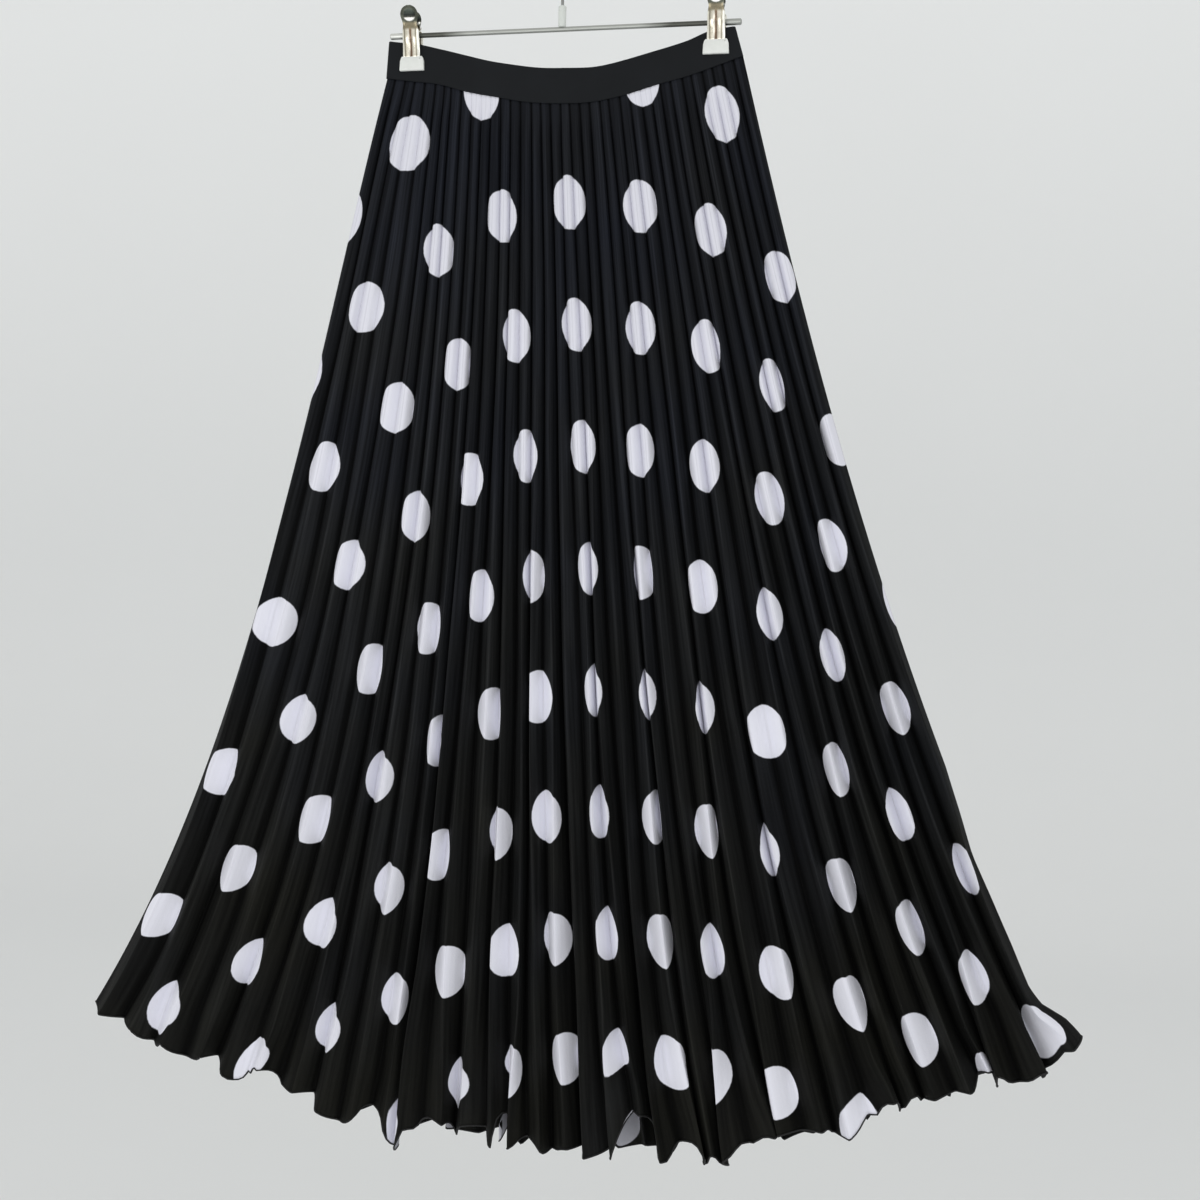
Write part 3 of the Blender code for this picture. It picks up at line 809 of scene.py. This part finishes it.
def pleat_row(share, seed):
    """Points across one panel. Pressed pleats are round arches with sharp valleys near
    the band, flat and crisp lower down, and relaxed at the hem."""
    pts = folds(share, seed)
    v = pts[len(pts) // 2][2]
    crisp = smooth((v - 60.0) / 560.0)
    relax = smooth((v - 860.0) / 100.0)
    outer = 0.40 - 0.345 * crisp + 0.02 * relax
    inner = 0.10 - 0.02 * crisp + 0.05 * relax
    arch = 0.07 - 0.062 * crisp
    row = []
    last = len(pts) - 1
    for k in range(last):
        (here, phi0, v0), (there, phi1, v1) = pts[k], pts[k + 1]
        q0, q1 = (outer, inner) if k % 2 else (inner, outer)
        if k == 0:
            corner = here
        else:
            corner = (here.lerp(pts[k - 1][0], q0) + here.lerp(there, q0)) * 0.25 + here * 0.5
        row.append((corner, phi0, v0, float(k)))
        across = there - here
        out = Vector((-across.y, across.x, 0.0)).normalized()
        if out.y < 0.0:
            out = -out
        soft = 0.018 + 0.03 * relax
        puff = across.length * (arch + crisp * soft * math.sin(
            math.tau * (v0 / (190.0 + 60.0 * noise(k, seed + 17)) + noise(k, seed + 19))))
        for s in (q0, 0.5 * (q0 + 0.5), 0.5, 0.5 * (1.5 - q1), 1.0 - q1):
            place = here.lerp(there, s) + out * (puff * 4.0 * s * (1.0 - s))
            row.append((place, phi0 + (phi1 - phi0) * s, v0 + (v1 - v0) * s, k + s))
    place, phi, v = pts[last]
    row.append((place.copy(), phi, v, float(last)))
    for place, phi, v, fold in row:
        place.z -= hem_drop(fold, v, phi, seed)
        above = table(HEM_LENGTH, phi, 1) - v
        place.x += broken(RIGHT_SWING, above) * smooth((fold - 69.5) / 2.5)
    return row


def row_shares():
    """Rows of the panel's mesh: close at the band and the hem, 10 mm apart between."""
    shares = [k * 0.0038 for k in range(12)]
    middle = 84
    shares += [0.0418 + (0.935 - 0.0418) * k / middle for k in range(1, middle + 1)]
    shares += [0.935 + 0.065 * k / 16 for k in range(1, 17)]
    return shares


def print_slip(phi, v):
    """How far out and how far to the right the front's print has slipped."""
    p, t = phi / SECTOR, v / PLEAT_LENGTH
    aside = PRINT_SPREAD * p * (p + t) - PRINT_BELLY * t * (1.0 - t)
    return 1.0 - PRINT_RISE * (p * (1.0 - t)) ** 2, aside


def print_place(phi, v, fold, label, repeat):
    """Where a point of the panel lies on the print's grid of dots."""
    turn, x0, y0 = PRINT[label]
    slip_out, slip_aside = print_slip(phi, v) if label == "front" else (0.0, 0.0)
    slip_out += PRINT_CORNER * smooth((fold - 68.5) / 2.0) * smooth((v - 820.0) / 90.0)
    side = table(SIDE_TURN, v, 1) * smooth(1.0 - fold / 4.0)
    side -= table(SIDE_TURN, v, 2) * smooth((fold - 2.0 * PLEATS) / 4.0 + 1.0)
    radius = WAIST_RADIUS + v + SEAM_TAKE * (1.0 - smooth(v / 90.0)) + slip_out
    ang = phi - side + slip_aside / (WAIST_RADIUS + v)
    x, y = radius * math.sin(ang), radius * math.cos(ang)
    gx = x * math.cos(turn) + y * math.sin(turn) - x0
    gy = y * math.cos(turn) - x * math.sin(turn) - y0
    return gx / repeat, gy / repeat


def build_panel(label, side, seed, looks):
    """One pleated panel and its wound hem; side is -1 for the front, +1 for the back."""
    materials = cloth_materials(looks)
    repeat = looks.dot_repeat / MM
    shares = row_shares()
    rows = [pleat_row(share, seed) for share in shares]
    cols = len(rows[0]) - 1
    bm = bmesh.new()
    bmesh.ops.create_grid(bm, x_segments=cols, y_segments=len(rows) - 1, size=0.5)
    printed = bm.loops.layers.uv.new("print")
    fall = bm.loops.layers.uv.new("fall")
    flat = {}
    for vert in bm.verts:
        c = round((vert.co.x + 0.5) * cols)
        r = round((0.5 - vert.co.y) * (len(rows) - 1))
        place, phi, v, fold = rows[r][c]
        vert.co = Vector((place.x, side * place.y, place.z)) * MM
        flat[vert.index] = print_place(phi, v, fold, label, repeat), (fold, v * MM)
    for face in bm.faces:
        for loop in face.loops:
            loop[printed].uv, loop[fall].uv = flat[loop.vert.index]
    bmesh.ops.recalc_face_normals(bm, faces=bm.faces)
    bm.normal_update()
    if sum(face.normal.y * side for face in bm.faces) < 0.0:
        bmesh.ops.reverse_faces(bm, faces=bm.faces)
    cloth = finish_piece(f"{label}_pleated_panel", bm, [materials["crepe"], materials["inside"]],
                         [f"{label}_panel"])
    wall(cloth, looks.cloth_thickness / MM, use_even_offset=False, material_offset=1,
         material_offset_rim=0)
    hem = [Vector((p.x, side * p.y, p.z)) for p, _, _, _ in rows[-1]]
    roll = build_wire(f"{label}_hem_roll", hem, looks.hem_thickness / MM / 2.0,
                      materials["thread"], resolution=1)
    attach(roll, [])


def build_wire(name, points, radius, material, resolution=3, tips=None):
    """Round wire or thread along points, closed at both ends."""
    curve = bpy.data.curves.new(name, "CURVE")
    curve.dimensions = "3D"
    curve.bevel_depth = radius * MM
    curve.bevel_resolution = resolution
    curve.use_fill_caps = True
    spline = curve.splines.new("POLY")
    spline.points.add(len(points) - 1)
    for k, (point, place) in enumerate(zip(spline.points, points)):
        point.co = (*(place * MM), 1.0)
        point.radius = tips[k] if tips else 1.0
    spline.use_smooth = True
    curve.materials.append(material)
    return add_object(name, curve)


# ---- waistband ----------------------------------------------------------
def build_waistband(looks, material):
    """The band as one loop: front, turn at the side, back, and turn again."""
    x0, x1 = BAND_EDGES[0][0], BAND_EDGES[-1][0]
    along, turn, high = 84, 6, 8
    thick = looks.band_thickness / MM
    mid = 0.55 + thick / 2.0
    loop = []
    for k in range(along + 1):
        x = x0 + (x1 - x0) * k / along
        loop.append((x, -1.0, x))
    for k in range(1, turn):
        a = math.pi * k / turn
        loop.append((x1 + mid * math.sin(a), -math.cos(a), x1))
    for k in range(along + 1):
        x = x1 + (x0 - x1) * k / along
        loop.append((x, 1.0, x))
    for k in range(1, turn):
        a = math.pi * k / turn
        loop.append((x0 - mid * math.sin(a), math.cos(a), x0))
    count = len(loop)
    bm = bmesh.new()
    bmesh.ops.create_grid(bm, x_segments=count, y_segments=high, size=0.5)
    for vert in bm.verts:
        c = round((vert.co.x + 0.5) * count) % count
        t = vert.co.y + 0.5
        x, side, at = loop[c]
        low, top = -table(BAND_EDGES, at, 1) - 0.8, -table(BAND_EDGES, at, 2)
        crimp = sum(h * math.exp(-((at - wx) / w) ** 2) for wx, w, h in BAND_WRINKLES)
        ripple = 0.25 * math.sin(at / 7.0 + 1.5 * side) * math.sin(at / 19.0)
        y = band_open(at) + mid + (crimp + ripple) * math.sin(math.pi * min(1.0, t * 1.15))
        y += 0.35 * math.sin(math.pi * t)
        z = low + (top - low) * t + 0.35 * math.sin(at / 11.0) * t
        lean = BAND_ENDS["left" if at < 0.0 else "right"]
        x += (lean[0] + (lean[1] - lean[0]) * t) * abs(at / x1) ** 4
        vert.co = Vector((x, side * y if abs(side) == 1.0 else side * mid, z - BAR_DROP)) * MM
    bmesh.ops.remove_doubles(bm, verts=bm.verts, dist=1e-6)
    bmesh.ops.recalc_face_normals(bm, faces=bm.faces)
    band = finish_piece("waistband", bm, [material], ["waistband_front", "waistband_back"])
    wall(band, thick)
    soften(band, 0.5, 2, 50.0)


# ---- hanger -------------------------------------------------------------
def build_turned(name, outline, axis, material, node):
    """Solid of revolution about the bar's centre line or across it, from pairs of
    distance along the axis and radius."""
    bm = bmesh.new()
    verts = [bm.verts.new(Vector((a, 0.0, r) if axis == "X" else (r, 0.0, a)) * MM)
             for a, r in outline]
    edges = [bm.edges.new((a, b)) for a, b in zip(verts, verts[1:])]
    turn = Vector((1, 0, 0)) if axis == "X" else Vector((0, 0, 1))
    bmesh.ops.spin(bm, geom=verts + edges, cent=(0, 0, 0), axis=turn,
                   angle=math.tau, steps=40, use_merge=True)
    bmesh.ops.remove_doubles(bm, verts=bm.verts, dist=1e-6)
    bmesh.ops.recalc_face_normals(bm, faces=bm.faces)
    bmesh.ops.translate(bm, verts=bm.verts, vec=(0.0, 0.0, -BAR_DROP * MM))
    obj = finish_piece(name, bm, [material], [node])
    soften(obj, 0.35, 3, 35.0)


def build_bar(materials):
    r, s = BAR_DIA / 2.0, SLEEVE_DIA / 2.0
    half = [(8.0, r), (60.0, r), (120.0, r), (SLEEVE_START, r), (SLEEVE_START + 0.2, s),
            (BAR_HALF - 1.0, s), (BAR_HALF - 0.3, s - 0.5), (BAR_HALF, s - 1.4), (BAR_HALF, 0.0)]
    outline = [(-a, b) for a, b in reversed(half)] + half
    build_turned("hanger_rod", outline, "X", materials["satin"], "hanger_bar")
    c = COLLAR_DIA / 2.0
    collar = [(BAR_DIA / 2.0 - 0.4, 0.0), (BAR_DIA / 2.0 - 0.4, c - 0.5), (3.4, c - 0.1),
              (COLLAR_TOP - 6.0, c), (COLLAR_TOP - 5.4, c - 0.3), (COLLAR_TOP - 4.8, c),
              (COLLAR_TOP - 1.0, c), (COLLAR_TOP, c - 1.2), (COLLAR_TOP, 0.0)]
    build_turned("hook_ferrule", collar, "Z", materials["collar"], "hook_collar")


def build_hook(materials):
    """The wire hook: stem, bend and open loop, with a rounded tip."""
    r = HOOK_BORE + HOOK_WIRE / 2.0
    cz = -HOOK_BORE
    low = -BAR_DROP + COLLAR_TOP - 2.0
    pts = [Vector((0.0, 0.0, low)), Vector((0.0, 0.0, low + 9.0))]
    curve = [(0.0, low + 14.3), (0.0, cz - 14.0), (r, cz - 20.0), (r, cz)]
    for k in range(25):
        t = k / 24.0
        w = ((1 - t) ** 3, 3 * t * (1 - t) ** 2, 3 * t * t * (1 - t), t ** 3)
        pts.append(Vector((sum(a * p[0] for a, p in zip(w, curve)), 0.0,
                           sum(a * p[1] for a, p in zip(w, curve)))))
    for k in range(1, 53):
        ang = math.radians(k * 4.0)
        pts.append(Vector((r * math.cos(ang), 0.0, cz + r * math.sin(ang))))
    tips = [1.0] * len(pts)
    end = pts[-1]
    back = (pts[-1] - pts[-2]).normalized()
    for k in range(1, 6):
        a = math.pi / 2.0 * k / 5.0
        pts.append(end + back * HOOK_WIRE / 2.0 * math.sin(a))
        tips.append(max(0.05, math.cos(a)))
    hook = build_wire("wire_hook", pts, HOOK_WIRE / 2.0, materials["wire"], 4, tips)
    attach(hook, ["hook"])


def build_jaw(name, clip, side, material, node):
    """Pressed steel jaw: a channel with a groove, ending in a dished finger tab."""
    _, x, rise, lean = clip
    bm = bmesh.new()
    cols, rows = 16, 44
    bmesh.ops.create_grid(bm, x_segments=cols, y_segments=rows, size=0.5)
    plate = bm.loops.layers.uv.new("plate")
    z0, z1 = JAW_PROFILE[0][0], JAW_PROFILE[-1][0]
    flat = {}
    for vert in bm.verts:
        u = vert.co.x * 2.0
        z = z0 + (z1 - z0) * (vert.co.y + 0.5)
        y, channel, share, groove = (table(JAW_PROFILE, z, k) for k in (1, 2, 3, 4))
        if side > 0.0 and z > TAB_START:
            y = BACK_TAB_Y
            share *= 1.0 - (1.0 - BACK_WIDTH) * smooth((z - TAB_START) / 4.0)
        y += channel * (1.0 - u ** 4) - groove * math.exp(-(u / 0.2) ** 2)
        place = x + u * share * (JAW_WIDTH - JAW_THICK) / 2.0 + lean * (z - LEAN_PIVOT)
        flat[vert.index] = (u * share, z * 0.1)
        vert.co = Vector((place, side * y, z + rise - BAR_DROP)) * MM
    for face in bm.faces:
        for loop in face.loops:
            loop[plate].uv = flat[loop.vert.index]
    bmesh.ops.recalc_face_normals(bm, faces=bm.faces)
    jaw = finish_piece(name, bm, [material], [node])
    wall(jaw, JAW_THICK)
    soften(jaw, 0.25, 2, 50.0)


def build_pad(name, clip, side, material, node):
    """Moulded shoe on a jaw's end, wider at its foot, with a raised tongue."""
    _, x, rise, _ = clip
    outline = [
        (-PAD_WIDTH / 2.0, PAD_BOTTOM),
        (PAD_WIDTH / 2.0, PAD_BOTTOM),
        (PAD_WIDTH / 2.0 - 0.4, PAD_TOP - 4.6),
        (PAD_SHOULDER / 2.0 + 1.0, PAD_TOP - 1.6),
        (PAD_SHOULDER / 2.0, PAD_TOP),
        (-PAD_SHOULDER / 2.0, PAD_TOP),
        (-PAD_SHOULDER / 2.0 - 1.0, PAD_TOP - 1.6),
        (-PAD_WIDTH / 2.0 + 0.4, PAD_TOP - 4.6),
    ]
    bm = bmesh.new()
    verts = [bm.verts.new(Vector((x + px, side * PAD_INNER, pz + rise - BAR_DROP)) * MM)
             for px, pz in outline]
    face = bm.faces.new(verts)
    made = bmesh.ops.extrude_face_region(bm, geom=[face])["geom"]
    moved = [g for g in made if isinstance(g, bmesh.types.BMVert)]
    bmesh.ops.translate(bm, verts=moved, vec=(0, side * PAD_THICK * MM, 0))
    top = [g for g in made if isinstance(g, bmesh.types.BMFace)]
    bmesh.ops.inset_region(bm, faces=top, thickness=3.4 * MM, depth=0.0)
    bmesh.ops.translate(bm, verts=list({v for f in top for v in f.verts}),
                        vec=(0, side * 0.7 * MM, 0))
    bmesh.ops.recalc_face_normals(bm, faces=bm.faces)
    pad = finish_piece(name, bm, [material], [node])
    soften(pad, 0.7, 3, 20.0)


def build_coil(name, x, material, node):
    """Clip spring wound round the bar, with an arm up to each jaw."""
    pts = []
    turns = COIL_TURNS * COIL_STEPS
    for k in range(turns + 1):
        a = math.tau * k / COIL_STEPS
        pts.append(Vector((x - COIL_HALF + 2.0 * COIL_HALF * k / turns,
                           COIL_RADIUS * math.sin(a), -BAR_DROP + COIL_RADIUS * math.cos(a))))
    first = [Vector((x - COIL_HALF, -6.0, -BAR_DROP + 9.0)),
             Vector((x - COIL_HALF, -4.6, -BAR_DROP + 6.5)),
             Vector((x - COIL_HALF, -2.4, -BAR_DROP + 4.4))]
    final = [Vector((x + COIL_HALF, 2.4, -BAR_DROP + 4.4)),
             Vector((x + COIL_HALF, 4.6, -BAR_DROP + 6.5)),
             Vector((x + COIL_HALF, 6.0, -BAR_DROP + 9.0))]
    coil = build_wire(name, first + pts + final, COIL_WIRE / 2.0, material, 2)
    attach(coil, [node])


# ---- settings -----------------------------------------------------------
class SkirtSizes(bpy.types.PropertyGroup):
    """Sizes of the cloth and its print."""
    dot_diameter: bpy.props.FloatProperty(
        name="Dot diameter", description="Across one printed dot, on the flat cloth",
        default=0.0490, min=0.005, subtype="DISTANCE", unit="LENGTH")
    dot_repeat: bpy.props.FloatProperty(
        name="Dot repeat", description="From one dot to the next, on the flat cloth",
        default=0.1118, min=0.02, subtype="DISTANCE", unit="LENGTH")
    cloth_thickness: bpy.props.FloatProperty(
        name="Cloth thickness", description="Thickness of the pleated crepe",
        default=0.0005, min=0.0002, subtype="DISTANCE", unit="LENGTH")
    band_thickness: bpy.props.FloatProperty(
        name="Band thickness", description="Thickness of the doubled waistband",
        default=0.0016, min=0.0004, subtype="DISTANCE", unit="LENGTH")
    hem_thickness: bpy.props.FloatProperty(
        name="Hem thickness", description="Across the wound thread at the hem",
        default=0.0018, min=0.0004, subtype="DISTANCE", unit="LENGTH")
    # how much lighter the painted highlight along each outer fold makes the cloth
    painted_crease_highlight: bpy.props.FloatProperty(
        name="Crease shine", description="How much lighter a pressed fold is",
        default=0.42, min=0.0, subtype="FACTOR")
    cloth_warm: bpy.props.StringProperty(
        name="Cloth, warm patches", description="sRGB hex colour", default="#1c1c19")
    cloth_colour: bpy.props.StringProperty(
        name="Cloth", description="sRGB hex colour", default="#191b21")
    dot_colour: bpy.props.StringProperty(
        name="Dots", description="sRGB hex colour", default="#dfdfe9")
    inside_colour: bpy.props.StringProperty(
        name="Wrong side", description="sRGB hex colour", default="#191a1c")
    inside_dot_colour: bpy.props.StringProperty(
        name="Dots, wrong side", description="sRGB hex colour", default="#a4a4ac")
    band_colour: bpy.props.StringProperty(
        name="Waistband", description="sRGB hex colour", default="#131518")
    thread_colour: bpy.props.StringProperty(
        name="Hem thread", description="sRGB hex colour", default="#0b0b0c")


class HangerLooks(bpy.types.PropertyGroup):
    """Colours of the hanger."""
    chrome_colour: bpy.props.StringProperty(
        name="Chrome", description="sRGB hex colour", default="#dad9d4")
    wire_colour: bpy.props.StringProperty(
        name="Hook wire", description="sRGB hex colour", default="#8d8f8d")
    bar_colour: bpy.props.StringProperty(
        name="Bar", description="sRGB hex colour", default="#a9aba7")
    collar_colour: bpy.props.StringProperty(
        name="Collar", description="sRGB hex colour", default="#cdd1cd")
    pad_colour: bpy.props.StringProperty(
        name="Pads", description="sRGB hex colour", default="#dcdedb")


class StageLooks(bpy.types.PropertyGroup):
    """The floor, the light and the camera."""
    floor_colour: bpy.props.StringProperty(
        name="Floor", description="sRGB hex colour", default="#e8e9ea")
    key_power: bpy.props.FloatProperty(
        name="Key light", description="Power of the large soft light", default=22.0,
        subtype="POWER", unit="POWER")
    fill_power: bpy.props.FloatProperty(
        name="Fill light", description="Power of the light on the right", default=8.0,
        subtype="POWER", unit="POWER")
    sky: bpy.props.FloatProperty(
        name="Room light", description="Strength of the even light all round", default=0.95,
        min=0.0)
    distance: bpy.props.FloatProperty(
        name="Camera distance", description="Camera to the middle of the skirt",
        default=1.5, subtype="DISTANCE", unit="LENGTH")


# ---- operators ----------------------------------------------------------
def ready(name, make, *looks):
    """The material of this name, made at its first use."""
    return bpy.data.materials.get(name) or make(name, *looks)


def cloth_materials(looks):
    return {
        "crepe": ready("pleated_crepe", crepe, looks.cloth_colour, looks.dot_colour,
                       looks, 0.005),
        "inside": ready("crepe_wrong_side", crepe, looks.inside_colour,
                        looks.inside_dot_colour, looks, 0.01),
        "thread": ready("overlock_thread", hem_thread, looks.thread_colour),
    }


def hanger_materials(looks):
    return {
        "chrome": ready("chrome_plate", plated_steel, looks.chrome_colour,
                        (0.10, 0.24), (220.0, 220.0, 90.0)),
        "plate": ready("worn_chrome_plate", clip_plate),
        "wire": ready("zinc_plated_wire", plated_steel, looks.wire_colour,
                      (0.28, 0.42), (600.0, 600.0, 120.0)),
        "satin": ready("drawn_steel", bar_steel, looks.bar_colour),
        "collar": ready("collar_polypropylene", soft_plastic, looks.collar_colour, 0.42, 0.1),
        "pad": ready("pad_polypropylene", soft_plastic, looks.pad_colour, 0.36, 0.35),
    }


class SKIRT_OT_front_panel(bpy.types.Operator):
    """Builds the pleated front panel with its hem"""
    bl_idname = "skirt.front_panel"
    bl_label = "Front panel"

    def execute(self, context):
        build_panel("front", -1.0, FRONT_SEED, context.scene.skirt_sizes)
        return {"FINISHED"}


class SKIRT_OT_back_panel(bpy.types.Operator):
    """Builds the pleated back panel with its hem"""
    bl_idname = "skirt.back_panel"
    bl_label = "Back panel"

    def execute(self, context):
        build_panel("back", 1.0, BACK_SEED, context.scene.skirt_sizes)
        return {"FINISHED"}


class SKIRT_OT_waistband(bpy.types.Operator):
    """Builds the plain waistband as one loop"""
    bl_idname = "skirt.waistband"
    bl_label = "Waistband"

    def execute(self, context):
        looks = context.scene.skirt_sizes
        build_waistband(looks, band_cloth("woven_waistband", looks.band_colour))
        return {"FINISHED"}


class SKIRT_OT_clips(bpy.types.Operator):
    """Builds both clips: jaws, pads and springs"""
    bl_idname = "skirt.clips"
    bl_label = "Clips"

    def execute(self, context):
        mats = hanger_materials(context.scene.hanger_looks)
        for clip in CLIPS:
            label = clip[0]
            build_coil(f"{label}_clip_coil", clip[1], mats["chrome"], f"{label}_clip_spring")
            for face, side in (("front", -1.0), ("back", 1.0)):
                build_jaw(f"{label}_clip_{face}_plate", clip, side, mats["plate"],
                          f"{label}_clip_{face}_jaw")
                build_pad(f"{label}_clip_{face}_pad_shoe", clip, side, mats["pad"],
                          f"{label}_clip_{face}_pad")
        return {"FINISHED"}


class SKIRT_OT_hanger(bpy.types.Operator):
    """Builds the hanger's bar, collar and hook"""
    bl_idname = "skirt.hanger"
    bl_label = "Hanger"

    def execute(self, context):
        mats = hanger_materials(context.scene.hanger_looks)
        build_bar(mats)
        build_hook(mats)
        return {"FINISHED"}


def add_light(name, size, power, place):
    """Soft light aimed at the middle of the skirt."""
    lamp = bpy.data.lights.new(name, "AREA")
    lamp.shape = "RECTANGLE"
    lamp.size, lamp.size_y = size
    lamp.energy = power
    obj = add_object(name, lamp)
    obj.location = place
    obj.rotation_euler = (MIDDLE - Vector(place)).to_track_quat("-Z", "Y").to_euler()


def add_camera(distance):
    """Camera a little to the right and above, turned by the same small roll as the view."""
    yaw, rise, roll = (math.radians(angle) for angle in CAMERA_ANGLES)
    back = Vector((math.sin(yaw) * math.cos(rise), -math.cos(yaw) * math.cos(rise),
                   math.sin(rise)))
    right = (-back).cross(Vector((0, 0, 1))).normalized()
    up = right.cross(-back)
    x_axis = right * math.cos(roll) + up * math.sin(roll)
    y_axis = up * math.cos(roll) - right * math.sin(roll)
    matrix = Matrix((x_axis, y_axis, back)).transposed().to_4x4()
    matrix.translation = CAMERA_TARGET + back * distance
    data = bpy.data.cameras.new("camera")
    data.sensor_width = 36.0
    data.lens = data.sensor_width * distance / (IMAGE_WIDTH * PIXEL * MM)
    camera = add_object("camera", data)
    camera.matrix_world = matrix
    bpy.context.scene.camera = camera


def build_floor(colour):
    """Seamless paper: a flat floor that sweeps up far behind."""
    bm = bmesh.new()
    bmesh.ops.create_grid(bm, x_segments=4, y_segments=60, size=0.5)
    flat = FLOOR_FRONT + BEND_START
    arc = BEND_RADIUS * math.pi / 2.0
    for vert in bm.verts:
        s = (vert.co.y + 0.5) * FLOOR_SIZE
        turn = min(max(s - flat, 0.0), arc) / BEND_RADIUS
        y = min(s, flat) - FLOOR_FRONT + BEND_RADIUS * math.sin(turn)
        z = BEND_RADIUS * (1.0 - math.cos(turn)) + max(0.0, s - flat - arc)
        vert.co = Vector((vert.co.x * FLOOR_SIZE, y, FLOOR_Z + z))
    bm.normal_update()
    smooth_object("studio_floor", bm, [backdrop_paper("backdrop_paper", colour)])


class SKIRT_OT_stage(bpy.types.Operator):
    """Sets the floor, the soft lights and the camera"""
    bl_idname = "skirt.stage"
    bl_label = "Stage"

    def execute(self, context):
        looks = context.scene.stage_looks
        build_floor(looks.floor_colour)
        add_light("key_softbox", (2.6, 1.2), looks.key_power, (-0.7, -2.7, -1.0))
        add_light("fill_softbox", (1.6, 2.0), looks.fill_power, (1.6, -2.4, 0.3))
        world = bpy.data.worlds.new("room_light")
        world.use_nodes = True
        sky = world.node_tree.nodes["Background"]
        sky.inputs["Color"].default_value = linear("#f2f3f1")
        sky.inputs["Strength"].default_value = looks.sky
        context.scene.world = world
        context.scene.view_settings.view_transform = "Standard"
        add_camera(looks.distance)
        return {"FINISHED"}


class SKIRT_PT_panel(bpy.types.Panel):
    """Sizes, colours and building steps of the skirt"""
    bl_idname = "SKIRT_PT_panel"
    bl_label = "Pleated skirt"
    bl_space_type = "VIEW_3D"
    bl_region_type = "UI"
    bl_category = "Skirt"

    def draw(self, context):
        for name in ("skirt_sizes", "hanger_looks", "stage_looks"):
            group = getattr(context.scene, name)
            box = self.layout.box()
            for prop in group.bl_rna.properties:
                if prop.identifier not in ("rna_type", "name"):
                    box.prop(group, prop.identifier)
        for step in STEPS:
            self.layout.operator(step.bl_idname)


STEPS = (SKIRT_OT_stage, SKIRT_OT_front_panel, SKIRT_OT_back_panel, SKIRT_OT_waistband,
         SKIRT_OT_hanger, SKIRT_OT_clips)
CLASSES = (SkirtSizes, HangerLooks, StageLooks, *STEPS, SKIRT_PT_panel)


def register():
    for cls in CLASSES:
        bpy.utils.register_class(cls)
    bpy.types.Scene.skirt_sizes = bpy.props.PointerProperty(type=SkirtSizes)
    bpy.types.Scene.hanger_looks = bpy.props.PointerProperty(type=HangerLooks)
    bpy.types.Scene.stage_looks = bpy.props.PointerProperty(type=StageLooks)


def unregister():
    del bpy.types.Scene.stage_looks
    del bpy.types.Scene.hanger_looks
    del bpy.types.Scene.skirt_sizes
    for cls in reversed(CLASSES):
        bpy.utils.unregister_class(cls)


def main():
    register()
    bpy.ops.skirt.stage()
    bpy.ops.skirt.clips()
    bpy.ops.skirt.waistband()
    bpy.ops.skirt.front_panel()
    bpy.ops.skirt.back_panel()
    bpy.ops.skirt.hanger()
    bpy.context.view_layer.update()


if __name__ == "__main__":
    main()
